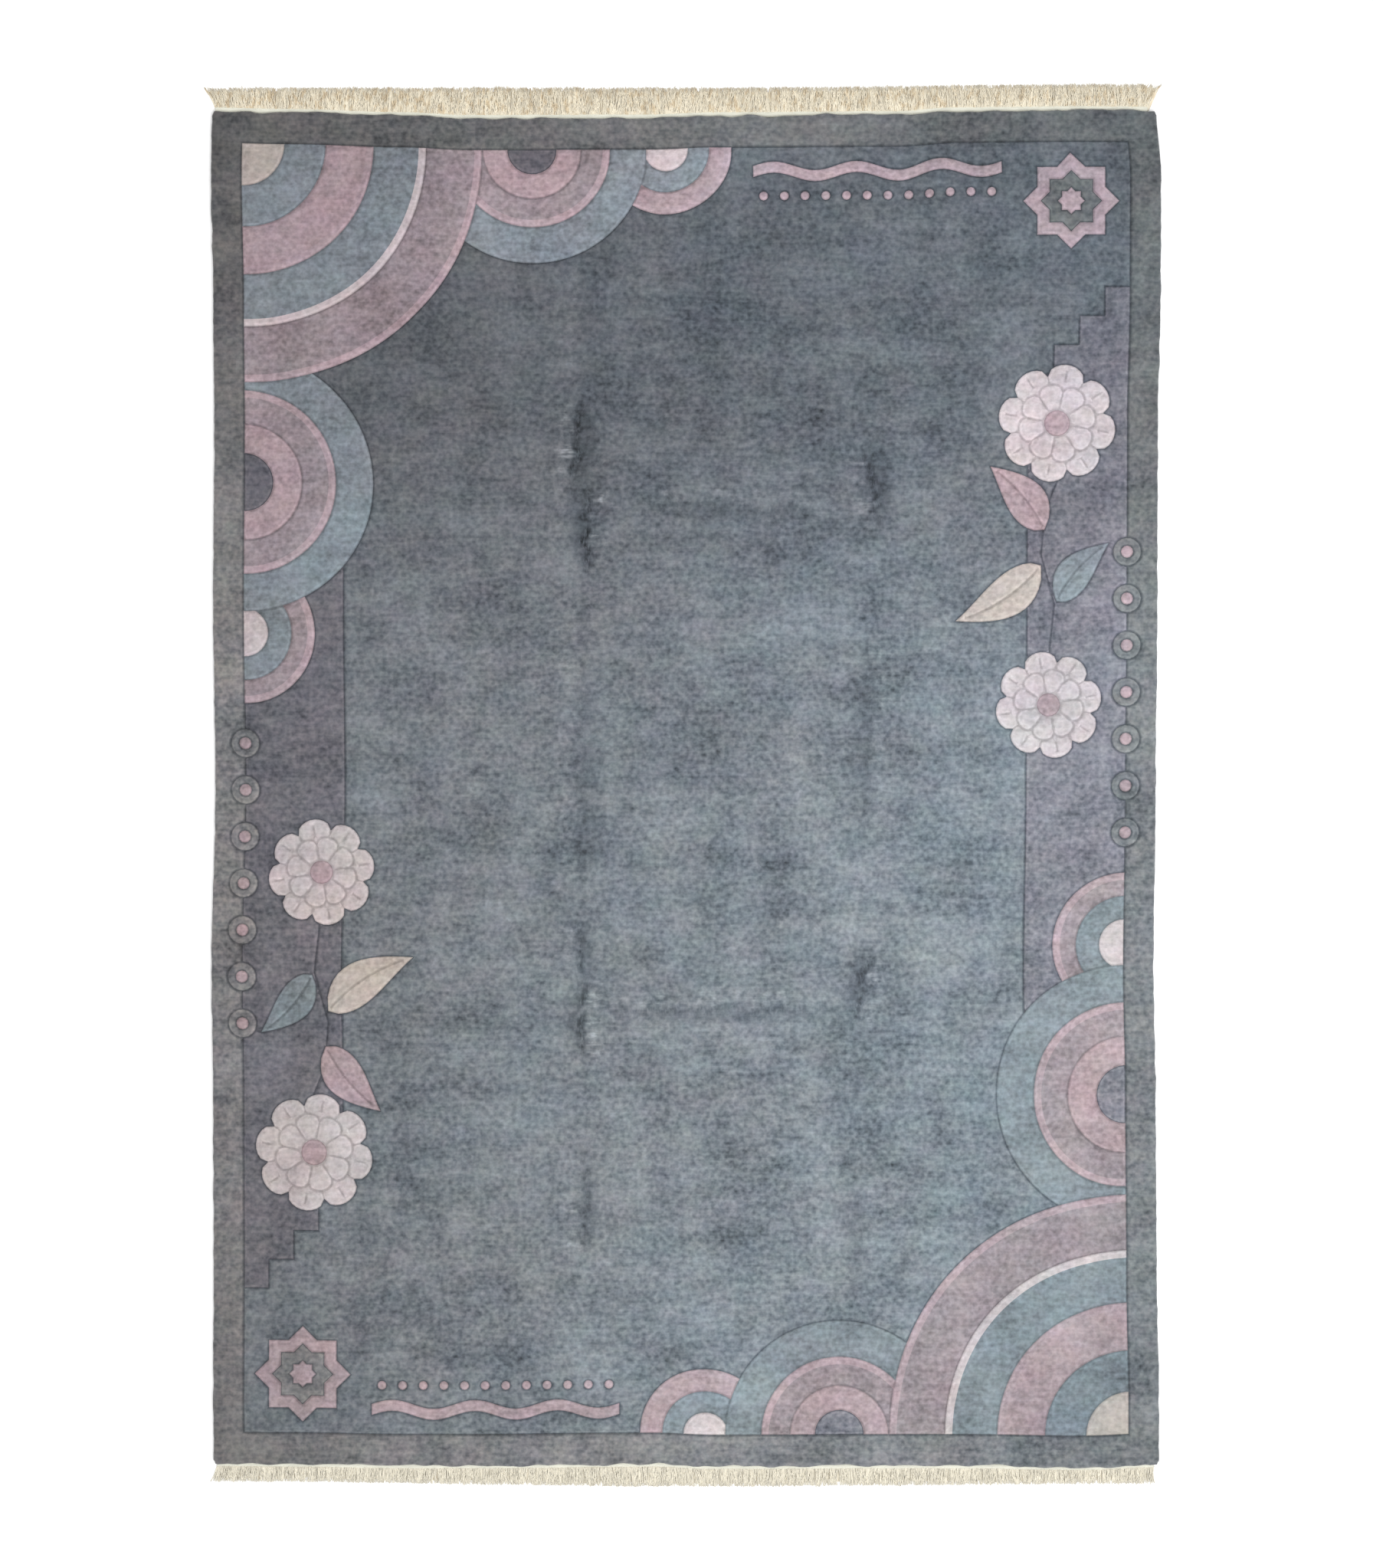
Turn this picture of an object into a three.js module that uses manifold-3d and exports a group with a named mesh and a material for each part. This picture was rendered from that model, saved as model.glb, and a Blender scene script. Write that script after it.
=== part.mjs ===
import * as THREE from "three";
import { mergeVertices } from "three/addons/utils/BufferGeometryUtils.js";
import Module from "manifold-3d";

// A hand-knotted wool rug of the Himalayan kind, lying flat: one thick pile rug with carved lines,
// and at each end a flat-woven web end whose warps hang on as a cotton fringe.
// Millimetres. X runs across the rug, Y along it towards its head, Z up from the floor.

const wasm = await Module();
wasm.setup();

// Driving sizes of the pile rug
const PILE_WIDTH = 1700;
const PILE_LENGTH = 2430;
const THICKNESS = 14;
const CORNER_RADIUS = 11;
const RIM_ROUND = 4;
const RIM_STEPS = 2;

// How far the woven edges stray from a true rectangle, from the photographed outline
const SIDE_EDGES = [
  { y: -1215, left: 0, right: 3 },
  { y: -1100, left: -1, right: 3 },
  { y: -880, left: 0, right: -1 },
  { y: -550, left: -1, right: -3 },
  { y: -330, left: -4, right: -7 },
  { y: 0, left: 3, right: -3 },
  { y: 330, left: -1, right: 0 },
  { y: 660, left: 1, right: 1 },
  { y: 880, left: -1, right: 6 },
  { y: 1100, left: -5, right: 7 },
  { y: 1215, left: -3, right: -2 },
];
const END_EDGES = [
  { x: -850, head: 6, foot: 4 },
  { x: -720, head: 3, foot: 3 },
  { x: -500, head: -3, foot: 0 },
  { x: -390, head: -8, foot: 0 },
  { x: -60, head: -7, foot: 3 },
  { x: 50, head: -3, foot: -1 },
  { x: 380, head: -1, foot: 0 },
  { x: 490, head: 6, foot: 0 },
  { x: 710, head: 8, foot: -3 },
  { x: 850, head: 7, foot: 2 },
];

// Lines sheared into the pile
const GROOVE_WIDTH = 5;
const GROOVE_DEPTH = 4;
const LINE_STEP = 130;
const FRAME_X = 795;
const FRAME_Y = 1160;

// Soft troughs where the rug was folded: long shallow hollows, each turned by lean degrees
const CREASES = [
  { x: -186, y: 690, length: 330, width: 64, depth: 2.0, lean: 2 },
  { x: -176, y: 470, length: 210, width: 50, depth: 2.4, lean: -4 },
  { x: -186, y: -330, length: 300, width: 60, depth: 2.2, lean: 1 },
  { x: -180, y: -720, length: 260, width: 56, depth: 1.5, lean: 0 },
  { x: 332, y: 520, length: 230, width: 66, depth: 2.2, lean: 5 },
  { x: 322, y: -390, length: 260, width: 62, depth: 2.0, lean: -5 },
  { x: 334, y: 60, length: 320, width: 58, depth: 1.3, lean: 0 },
  { x: 70, y: 512, length: 300, width: 54, depth: 1.3, lean: 88 },
  { x: 60, y: -404, length: 340, width: 54, depth: 1.4, lean: 91 },
];
const CREASE_SIDES = 12;
const CREASE_ROWS = [
  { reach: 0, share: 1 },
  { reach: 0.36, share: 0.76 },
  { reach: 0.7, share: 0.27 },
  { reach: 1, share: 0 },
];

// Wave fans of two opposite corners, back to front: centre in from the corner, and the ring radii
const FANS = [
  { along: 760, down: 0, rings: [118, 78, 40] },
  { along: 0, down: 880, rings: [128, 86, 44] },
  { along: 520, down: 0, rings: [205, 140, 88, 44] },
  { along: 0, down: 610, rings: [232, 165, 104, 52] },
  { along: 0, down: 0, rings: [430, 330, 236, 150, 76] },
];
const FAN_CHORD = 62;

// Eight-pointed star of the other two corners: how far its centre is in from the frame lines
const STAR = { inset: 106, radii: [86, 55, 24], points: 8, valley: 0.765 };

// Side panel with a stepped end, the rippled ribbon beside the star, the pearls on the side's frame line
const PANEL = { width: 180, head: 900, foot: -600, step: 52, steps: 3 };
const RIBBON = { from: 120, to: 565, y: 1116, width: 20, ripple: 8, waves: 3, stops: 6 };
const PEARLS = { count: 7, first: -80, pitch: 84, radius: 26 };

// Rosettes with round petals and the leaves between them, on the long sides
const ROSETTES = [
  { x: 668, y: 655, radius: 106, petals: 8, turn: 12 },
  { x: 655, y: 150, radius: 96, petals: 8, turn: 34 },
];
const PETAL_LOBE = [0.8, 0.97, 1, 0.97];
const LEAVES = [
  { x: 640, y: 400, tipX: 486, tipY: 300, width: 74, bend: 14 },
  { x: 646, y: 464, tipX: 548, tipY: 578, width: 72, bend: -10 },
  { x: 668, y: 335, tipX: 762, tipY: 440, width: 62, bend: 10 },
];
const LEAF_STEPS = 5;
const LEAF_BELLY = 0.7;

// Web ends and fringe, one row for each end of the rug, and the line that the fringe's tips reach
const WEB_GAP = 0.3;
const WEB_THICKNESS = 3;
const ENDS = [
  { name: "head", way: 1, web: 11, from: -845, to: 836, splayLeft: -30, splayRight: 28 },
  { name: "foot", way: -1, web: 9, from: -845, to: 842, splayLeft: -12, splayRight: -6 },
];
const TIP_LINE = [
  { x: -850, head: 1264, foot: -1243 },
  { x: 0, head: 1264, foot: -1252 },
  { x: 850, head: 1271, foot: -1247 },
];
const LOCK_COUNT = 104;
const LOCK_WIDTH = 11.6;
const LOCK_ROOT = 4;
const SPLAY_REACH = 34;
const DRIFT_WAVES = [{ degrees: 4, every: 210 }, { degrees: 2.5, every: 67 }];
const LENGTH_WAVES = [{ share: 0.04, turn: 2.4 }, { share: 0.02, turn: 0.9 }];
const TIP_CURL = 0.6;
const LOCK_SECTIONS = [
  { along: 0, width: 1, height: 2.2 },
  { along: 0.45, width: 0.92, height: 4.6 },
  { along: 0.8, width: 0.8, height: 3.4 },
  { along: 1, width: 0.4, height: 1.4 },
];

const woolMaterial = new THREE.MeshStandardMaterial({
  name: "wool_pile", color: 0x7c848c, roughness: 0.95, metalness: 0,
});
const cottonMaterial = new THREE.MeshStandardMaterial({
  name: "cotton_warp", color: 0xdcd1b8, roughness: 0.9, metalness: 0,
});

// A value read from a table of rows, eased between the two rows around it
function eased(rows, place, column, at) {
  const last = rows.length - 1;
  if (at <= rows[0][place]) return rows[0][column];
  if (at >= rows[last][place]) return rows[last][column];
  const next = rows.findIndex((row) => row[place] > at);
  const low = rows[next - 1];
  const high = rows[next];
  const share = THREE.MathUtils.smoothstep(at, low[place], high[place]);
  return THREE.MathUtils.lerp(low[column], high[column], share);
}

// Where a point of the true rectangle lies on the hand-woven rug
function laid(x, y) {
  const across = THREE.MathUtils.clamp(x / PILE_WIDTH + 0.5, 0, 1);
  const along = THREE.MathUtils.clamp(y / PILE_LENGTH + 0.5, 0, 1);
  const left = eased(SIDE_EDGES, "y", "left", y);
  const right = eased(SIDE_EDGES, "y", "right", y);
  const foot = eased(END_EDGES, "x", "foot", x);
  const head = eased(END_EDGES, "x", "head", x);
  return new THREE.Vector2(
    x + THREE.MathUtils.lerp(left, right, across),
    y + THREE.MathUtils.lerp(foot, head, along),
  );
}

// A closed three.js geometry as a solid, and back
function solidOf(geometry) {
  const bare = geometry.clone();
  bare.deleteAttribute("normal");
  bare.deleteAttribute("uv");
  const merged = mergeVertices(bare, 1e-4);
  return new wasm.Manifold(
    new wasm.Mesh({
      numProp: 3,
      vertProperties: new Float32Array(merged.attributes.position.array),
      triVerts: new Uint32Array(merged.index.array),
    }),
  );
}

function geometryOf(solid) {
  const mesh = solid.getMesh();
  return new THREE.BufferGeometry()
    .setAttribute("position", new THREE.BufferAttribute(mesh.vertProperties, 3))
    .setIndex(new THREE.BufferAttribute(mesh.triVerts, 1));
}

// An upright prism over a counter-clockwise outline, with an optional hole
function prism(outline, low, high, hole) {
  const shape = new THREE.Shape(outline);
  if (hole) shape.holes.push(new THREE.Path(hole));
  const geometry = new THREE.ExtrudeGeometry(shape, { depth: high - low, bevelEnabled: false });
  return solidOf(geometry.translate(0, 0, low));
}

// A closed outline moved outwards by a distance, with its sharp tips held short
function grown(outline, distance) {
  const count = outline.length;
  return outline.map((point, i) => {
    const before = point.clone().sub(outline[(i + count - 1) % count]).normalize();
    const after = outline[(i + 1) % count].clone().sub(point).normalize();
    const outward = new THREE.Vector2(before.y + after.y, -before.x - after.x).normalize();
    const facing = Math.max(0.6, outward.x * before.y - outward.y * before.x);
    return point.clone().addScaledVector(outward, distance / facing);
  });
}

// Stops along the sides of a polygon at whole multiples of a step, so that neighbouring pieces bend alike
function stepped(corners, step) {
  return corners.flatMap((corner, i) => {
    const next = corners[(i + 1) % corners.length];
    const axis = Math.abs(next.x - corner.x) > Math.abs(next.y - corner.y) ? "x" : "y";
    const way = Math.sign(next[axis] - corner[axis]);
    const stops = [corner];
    let at = step * (Math.floor((way * corner[axis]) / step) + 1);
    for (; at < way * next[axis]; at += step) {
      const share = (way * at - corner[axis]) / (next[axis] - corner[axis]);
      if (share > 0.001) stops.push(corner.clone().lerp(next, share));
    }
    return stops;
  });
}

// An outline on the true rectangle, turned half round where asked, and laid on the rug
function placed(outline, turn) {
  return outline.map((point) => laid(turn * point.x, turn * point.y));
}

const FLOOR_OF_GROOVE = THICKNESS - GROOVE_DEPTH;
const CLEAR = 1;
const ABOVE = THICKNESS + CLEAR;

function groove(outline) {
  const half = GROOVE_WIDTH / 2;
  return prism(grown(outline, half), FLOOR_OF_GROOVE, ABOVE, grown(outline, -half));
}

function box(x0, y0, x1, y1) {
  return [
    new THREE.Vector2(x0, y0),
    new THREE.Vector2(x1, y0),
    new THREE.Vector2(x1, y1),
    new THREE.Vector2(x0, y1),
  ];
}

function circle(x, y, radius) {
  const count = 4 * Math.ceil((Math.PI * radius) / (2 * FAN_CHORD) + 1);
  return Array.from({ length: count }, (_, k) => {
    const angle = (2 * Math.PI * k) / count;
    return new THREE.Vector2(x + radius * Math.cos(angle), y + radius * Math.sin(angle));
  });
}

// Pile rug: a rounded slab before it is carved
function rugSlab() {
  const corners = [
    [1, -1, -90], [1, 1, 0], [-1, 1, 90], [-1, -1, 180],
  ];
  const rounded = corners.flatMap(([side, end, start]) =>
    [0, 30, 60, 90].map((angle) => {
      const turn = THREE.MathUtils.degToRad(start + angle);
      return new THREE.Vector2(
        side * (PILE_WIDTH / 2 - CORNER_RADIUS) + CORNER_RADIUS * Math.cos(turn),
        end * (PILE_LENGTH / 2 - CORNER_RADIUS) + CORNER_RADIUS * Math.sin(turn),
      );
    }),
  );
  const outline = placed(stepped(rounded, LINE_STEP), 1);
  const geometry = new THREE.ExtrudeGeometry(new THREE.Shape(outline), {
    depth: THICKNESS - 2 * RIM_ROUND,
    bevelThickness: RIM_ROUND,
    bevelSize: RIM_ROUND,
    bevelOffset: -RIM_ROUND,
    bevelSegments: RIM_STEPS,
  });
  return solidOf(geometry.translate(0, 0, RIM_ROUND));
}

// One fold crease: a shallow bowl drawn out along the fold
function crease({ x, y, length, width, depth, lean }) {
  const profile = CREASE_ROWS.map(({ reach, share }) => new THREE.Vector2(reach, -depth * share));
  profile.push(new THREE.Vector2(1, GROOVE_DEPTH), new THREE.Vector2(0, GROOVE_DEPTH));
  const bowl = new THREE.LatheGeometry(profile, CREASE_SIDES)
    .rotateX(Math.PI / 2)
    .scale(width / 2, length / 2, 1)
    .rotateZ(THREE.MathUtils.degToRad(lean));
  const at = laid(x, y);
  return solidOf(bowl.translate(at.x, at.y, THICKNESS));
}

// A wheel of points round a centre, at shares of a radius that repeat
function wheel({ x, y, radius, turn }, count, shares) {
  return Array.from({ length: count }, (_, k) => {
    const angle = THREE.MathUtils.degToRad(turn) + (2 * Math.PI * k) / count;
    const reach = radius * shares[k % shares.length];
    return new THREE.Vector2(x + reach * Math.cos(angle), y + reach * Math.sin(angle));
  });
}

function starOutlines() {
  return STAR.radii.map((radius) => {
    const centre = { x: FRAME_X - STAR.inset, y: FRAME_Y - STAR.inset, radius, turn: 0 };
    return wheel(centre, 2 * STAR.points, [1, STAR.valley]);
  });
}

function ribbonOutline() {
  const { from, to, y, width, ripple, waves, stops } = RIBBON;
  const count = waves * stops;
  const middle = Array.from({ length: count + 1 }, (_, k) => {
    const share = k / count;
    const rise = ripple * Math.sin(2 * Math.PI * waves * share);
    return new THREE.Vector2(THREE.MathUtils.lerp(from, to, share), y + rise);
  });
  const low = middle.map((point) => new THREE.Vector2(point.x, point.y - width / 2));
  const high = middle.map((point) => new THREE.Vector2(point.x, point.y + width / 2));
  return low.concat(high.reverse());
}

function panelOutline() {
  const run = PANEL.width / (PANEL.steps + 1);
  const outline = [
    new THREE.Vector2(FRAME_X - PANEL.width, PANEL.foot),
    new THREE.Vector2(FRAME_X + GROOVE_WIDTH, PANEL.foot),
    new THREE.Vector2(FRAME_X + GROOVE_WIDTH, PANEL.head),
  ];
  for (let k = 1; k <= PANEL.steps; k++) {
    const x = FRAME_X - run * k;
    outline.push(new THREE.Vector2(x, PANEL.head - PANEL.step * (k - 1)));
    outline.push(new THREE.Vector2(x, PANEL.head - PANEL.step * k));
  }
  outline.push(new THREE.Vector2(FRAME_X - PANEL.width, PANEL.head - PANEL.step * PANEL.steps));
  return stepped(outline, 3 * LINE_STEP);
}

// A leaf from its stalk to its tip, bowed to one side and widest near its stalk
function leafOutline({ x, y, tipX, tipY, width, bend }) {
  const stalk = new THREE.Vector2(x, y);
  const run = new THREE.Vector2(tipX, tipY).sub(stalk);
  const side = new THREE.Vector2(-run.y, run.x).normalize();
  const edge = (share, sign) => {
    const bow = 4 * bend * share * (1 - share);
    const half = (sign * width * Math.sin(Math.PI * share ** LEAF_BELLY)) / 2;
    return stalk.clone().addScaledVector(run, share).addScaledVector(side, bow + half);
  };
  const outward = Array.from({ length: LEAF_STEPS }, (_, k) => edge(k / LEAF_STEPS, -1));
  const homeward = Array.from({ length: LEAF_STEPS }, (_, k) => edge(1 - k / LEAF_STEPS, 1));
  return outward.concat(homeward);
}

// The field's motifs, back to front
function fieldMotifs() {
  const rings = FANS.flatMap(({ along, down, rings: radii }) =>
    radii.map((radius) => circle(along - FRAME_X, FRAME_Y - down, radius)),
  );
  const rosettes = ROSETTES.map((rosette) =>
    wheel(rosette, rosette.petals * PETAL_LOBE.length, PETAL_LOBE),
  );
  const leaves = LEAVES.map(leafOutline);
  return [panelOutline(), ribbonOutline(), ...rings, ...starOutlines(), ...leaves, ...rosettes];
}

function pearlOutlines() {
  return Array.from({ length: PEARLS.count }, (_, k) =>
    circle(FRAME_X, PEARLS.first + PEARLS.pitch * k, PEARLS.radius),
  );
}

// Motifs in both half turns of the rug: each one hides the lines it covers, and has a line round it
function cover(carving, outlines) {
  for (const outline of outlines) {
    for (const turn of [1, -1]) {
      const edge = placed(outline, turn);
      const hidden = prism(edge, FLOOR_OF_GROOVE - CLEAR, ABOVE + CLEAR);
      carving = carving.subtract(hidden).add(groove(edge));
    }
  }
  return carving;
}

// Every carved line: the field's motifs stop at the frame line, the pearls sit across it
function carvedLines() {
  const frame = placed(stepped(box(-FRAME_X, -FRAME_Y, FRAME_X, FRAME_Y), LINE_STEP), 1);
  const nothing = wasm.Manifold.union([]);
  const field = cover(nothing, fieldMotifs()).intersect(prism(frame, FLOOR_OF_GROOVE, ABOVE));
  return cover(field.add(groove(frame)), pearlOutlines());
}

// One lock of fringe, lying on its flat underside and tapering to its tip
function lock(x, y, way, length, lean, curl) {
  const points = [];
  for (const { along, width, height } of LOCK_SECTIONS) {
    const reach = along * length;
    const drift = reach * Math.tan(lean) + curl * along * along;
    const half = (LOCK_WIDTH * width) / 2;
    points.push([x + drift - half, y + way * reach, 0]);
    points.push([x + drift + half, y + way * reach, 0]);
    points.push([x + drift, y + way * reach, height]);
  }
  const faces = way > 0 ? [[0, 1, 2]] : [[0, 2, 1]];
  const last = points.length - 3;
  for (let at = 0; at < last; at += 3) {
    for (const [a, b] of [[0, 1], [1, 2], [2, 0]]) {
      const [p, q, r, s] = [at + a, at + b, at + b + 3, at + a + 3];
      faces.push(...(way > 0 ? [[p, r, q], [p, s, r]] : [[p, q, r], [p, r, s]]));
    }
  }
  faces.push(way > 0 ? [last, last + 2, last + 1] : [last, last + 1, last + 2]);
  return new wasm.Manifold(
    new wasm.Mesh({
      numProp: 3,
      vertProperties: new Float32Array(points.flat()),
      triVerts: new Uint32Array(faces.flat()),
    }),
  );
}

// Web end and fringe of one end of the rug, as one piece
function webAndFringe({ name, way, web, from, to, splayLeft, splayRight }) {
  const edge = PILE_LENGTH / 2 + WEB_GAP;
  const near = way > 0 ? edge : -edge - web;
  const band = placed(stepped(box(from, near, to, near + web), LINE_STEP), 1);
  const strands = Array.from({ length: LOCK_COUNT }, (_, k) => {
    const x = THREE.MathUtils.lerp(from, to, (k + 0.5) / LOCK_COUNT);
    const fromLeft = Math.exp(-(x - from) / SPLAY_REACH);
    const fromRight = Math.exp(-(to - x) / SPLAY_REACH);
    const drift = DRIFT_WAVES.map(({ degrees, every }) => degrees * Math.sin(x / every + way));
    const swing = drift[0] + drift[1] + splayLeft * fromLeft + splayRight * fromRight;
    const lean = THREE.MathUtils.degToRad(swing);
    const root = laid(x, way * (edge + web - LOCK_ROOT));
    const reach = Math.abs(eased(TIP_LINE, "x", name, x) - root.y);
    const uneven = LENGTH_WAVES.reduce((sum, { share, turn }) => sum + share * Math.sin(k * turn), 1);
    return lock(root.x, root.y, way, reach * uneven, lean, TIP_CURL * Math.sin(k));
  });
  return wasm.Manifold.union([prism(band, 0, WEB_THICKNESS), ...strands]);
}

function mesh(name, solid, material) {
  const made = new THREE.Mesh(geometryOf(solid), material);
  made.name = name;
  return made;
}

const rug = new THREE.Group();
const hollows = wasm.Manifold.union(CREASES.map(crease));
rug.add(mesh("pile_rug", rugSlab().subtract(hollows).subtract(carvedLines()), woolMaterial));
for (const end of ENDS) rug.add(mesh(`${end.name}_fringe`, webAndFringe(end), cottonMaterial));

// The origin is on the floor under the middle of the whole rug, fringes included
const whole = new THREE.Box3().setFromObject(rug);
const middle = whole.getCenter(new THREE.Vector3());
rug.position.set(-middle.x, -middle.y, -whole.min.z);

export default rug;
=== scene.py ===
"""Looks of a hand-knotted Nepalese wool rug, built over its packed construction.

A plan point is in millimetres on a true rectangle whose middle is the middle of the pile: x runs across
the rug and y along it, towards its head. bent() lays plan points on the hand-woven outline, and
frame_shift() moves them to the part's frame.
"""

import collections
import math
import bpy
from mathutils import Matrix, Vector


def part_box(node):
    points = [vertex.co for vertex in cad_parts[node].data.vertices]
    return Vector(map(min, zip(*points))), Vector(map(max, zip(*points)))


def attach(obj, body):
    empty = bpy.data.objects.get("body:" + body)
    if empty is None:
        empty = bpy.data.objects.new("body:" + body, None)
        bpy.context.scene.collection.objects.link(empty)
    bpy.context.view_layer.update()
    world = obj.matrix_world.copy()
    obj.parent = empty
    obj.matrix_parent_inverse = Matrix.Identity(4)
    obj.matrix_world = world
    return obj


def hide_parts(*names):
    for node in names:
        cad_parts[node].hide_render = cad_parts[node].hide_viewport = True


bl_info = {
    "name": "Knotted Wool Rug",
    "version": (1, 0, 0),
    "blender": (4, 5, 0),
    "location": "3D Viewport > Sidebar > Rug",
    "description": "Builds the pile, the carved lines and the fringes of a hand-knotted wool rug",
    "category": "Add Mesh",
}

from types import SimpleNamespace

import bpy
import numpy as np
from bpy.props import FloatProperty, FloatVectorProperty, IntProperty, PointerProperty
from mathutils import Vector, noise
from mathutils.geometry import delaunay_2d_cdt

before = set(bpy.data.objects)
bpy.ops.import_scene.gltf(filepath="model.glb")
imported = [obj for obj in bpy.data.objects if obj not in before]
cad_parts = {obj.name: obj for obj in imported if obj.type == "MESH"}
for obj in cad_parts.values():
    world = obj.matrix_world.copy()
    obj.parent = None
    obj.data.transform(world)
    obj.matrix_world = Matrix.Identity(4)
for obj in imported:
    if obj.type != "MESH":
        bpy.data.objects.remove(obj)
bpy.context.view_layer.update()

MM = 0.001
TAU = 2 * math.pi

# Sizes of the pile on its plan
PILE_WIDTH = 1700
PILE_LENGTH = 2430
THICKNESS = 14
CORNER_RADIUS = 7
FRAME_X = 795
FRAME_Y = 1160

# How far the woven edges stray from a true rectangle: y, left, right and then x, head, foot
SIDE_EDGES = [
    (-1215, 0, 3), (-1100, -1, 3), (-880, 0, -1), (-550, -1, -3), (-330, -4, -7), (0, 3, -3),
    (330, -1, 0), (660, 1, 1), (880, -1, 6), (1100, -5, 7), (1215, -3, -2),
]
END_EDGES = [
    (-850, 6, 4), (-720, 3, 3), (-500, -3, 0), (-390, -8, 0), (-60, -7, 3), (50, -3, -1),
    (380, -1, 0), (490, 6, 0), (710, 8, -3), (850, 7, 2),
]

# Fold creases: middle, length, width, depth, lean in degrees, and the side that the light catches, 1 for
# the right or upper one
Crease = collections.namedtuple("Crease", "x y length width depth lean lit")
CREASES = [
    Crease(-197, 624, 190, 84, 2.4, -6, -1),
    Crease(-177, 470, 176, 76, 2.4, 2, 1),
    Crease(-184, 860, 300, 70, 1.0, 0, -1),
    Crease(-184, -290, 130, 64, 1.9, 4, -1),
    Crease(-182, -408, 150, 76, 2.2, -4, 1),
    Crease(-180, -740, 230, 64, 1.7, 0, -1),
    Crease(336, 552, 170, 90, 2.2, 12, -1),
    Crease(326, -352, 150, 84, 2.1, -14, 1),
    Crease(330, 90, 420, 90, 1.3, 0, 1),
    Crease(318, -800, 260, 70, 1.0, 0, 1),
    Crease(-186, 90, 620, 90, 1.3, 0, -1),
    Crease(70, 512, 300, 54, 1.3, 88, 1),
    Crease(70, -394, 500, 62, 1.6, 91, 1),
]
DEEPEST_CREASE = 2.4

# The parting along a crease: its reach, the rows of points beside it, how far and over what lengths it
# strays, and how far off the tufts turn up and how wide, in reaches
PARTING_REACH = 8
PARTING_ROWS = (-11, -5, 0, 5, 11)
PARTING_STRAYS = [(14, 70), (9, 22)]
PARTING_PATCH = 50
TUFTS_OFF, TUFTS_WIDE = 2.6, 1.8

# Wave fans of two opposite corners, back to front: centre in from the corner, then each ring's radius,
# its dye and the dye of its piping
FANS = [
    (760, 0, [(118, "rose", "pink"), (78, "sky", None), (40, "blush", None)]),
    (0, 880, [(128, "mauve", "pink"), (86, "sky", None), (44, "blush", None)]),
    (520, 0, [(205, "sky", None), (140, "mauve", "pink"), (88, "rose", None), (44, "plum", None)]),
    (0, 610, [(232, "sky", None), (165, "mauve", "pink"), (104, "rose", None), (52, "plum", None)]),
    (0, 0, [
        (430, "mauve", "pink"), (330, "sky", "blush"), (236, "rose", "pink"), (150, "sky", None),
        (76, "cream", None),
    ]),
]
PIPING = 13

# Eight-pointed star of the other two corners
STAR_INSET = 106
STAR_RINGS = [(86, "pink"), (55, "border"), (24, "pink")]
STAR_POINTS = 8
STAR_VALLEY = 0.765

# Side panel with a stepped end, the rippled ribbon with its beads, and the pearls on the frame line
PANEL = SimpleNamespace(width=180, head=900, foot=-600, step=52, steps=3)
RIBBON = SimpleNamespace(start=120, end=565, y=1116, width=20, ripple=8, waves=3)
BEADS = SimpleNamespace(count=12, drop=44, radius=8)
PEARLS = SimpleNamespace(count=7, first=-80, pitch=84, radius=26, core=11)

# Rosettes: middle, radius and turn in degrees. Each row of petals: reach, turn in petals and where its
# dividing lines start, all as shares
ROSETTES = [(668, 655, 106, 12), (655, 150, 96, 34)]
PETAL_ROWS = [(1.0, 0.0, 0.6), (0.66, 0.5, 0.24)]
PETAL_NOTCH = 0.2
PETALS = 8
PETAL_VEIN = (0.72, 0.88, 0.5)
ROSETTE_EYE = 0.22

# Leaves: stalk, tip, width, bow and dye, and the stem that carries them
LEAVES = [
    (640, 400, 486, 300, 74, 14, "cream"),
    (646, 464, 548, 578, 72, -10, "rose"),
    (668, 335, 762, 440, 62, 10, "sky"),
]
LEAF_BELLY = 0.7
STEM = [(655, 240), (664, 330), (640, 420), (648, 500), (672, 560)]

# Web ends and fringes: way, width of the web, its ends, how far the outer locks splay and how far a strand
# leans, in degrees, how far it curls, and the column of TIP_LINE that its tips follow
End = collections.namedtuple("End", "name way web start stop splay_left splay_right lean curl column")
ENDS = [
    End("head_fringe", 1, 10, -845, 836, -27, 26, 11, 1.6, 1),
    End("foot_fringe", -1, 8, -845, 842, -12, -6, 8, 0.8, 2),
]
TIP_LINE = [(-850, 1265, -1246), (0, 1265, -1255), (850, 1272, -1250)]
WEB_GAP = 0.3
WEB_RIB = 1.5
UNDERLAY_STEP = 2.2
SPLAY_REACH = 34
MOST_LEAN = 42
MOST_SPREAD = 22

# Strands: their points, how far bunches lie off their places, the stray of a strand and of its bunch, how
# high the lowest layer lies and rises between root and tip, and how much more the highest does
STRAND_STEPS = np.array([0, 0.12, 0.28, 0.46, 0.64, 0.82, 1.0])
BUNCH_SHIFT = 0.25
STRAND_STRAY, BUNCH_STRAY = 0.8, 0.6
LAYER_HEIGHT, LAYER_RISE = (1.0, 0.9), (1.2, 2.2)

# Meshing of the pile: the spacing of points on lines and between them, how close the latter come to lines
# and to the points of a parting, the reach of a line's slope, and the points on it
STATION = 9
FILL = 12.5
FILL_GAP, ROW_GAP, PARTING_GAP = 10.5, 8, 6
ROW_PITCH = 0.87
SLOPE_REACH = 16
SHOULDERS = (2.4, 6.8)

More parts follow.
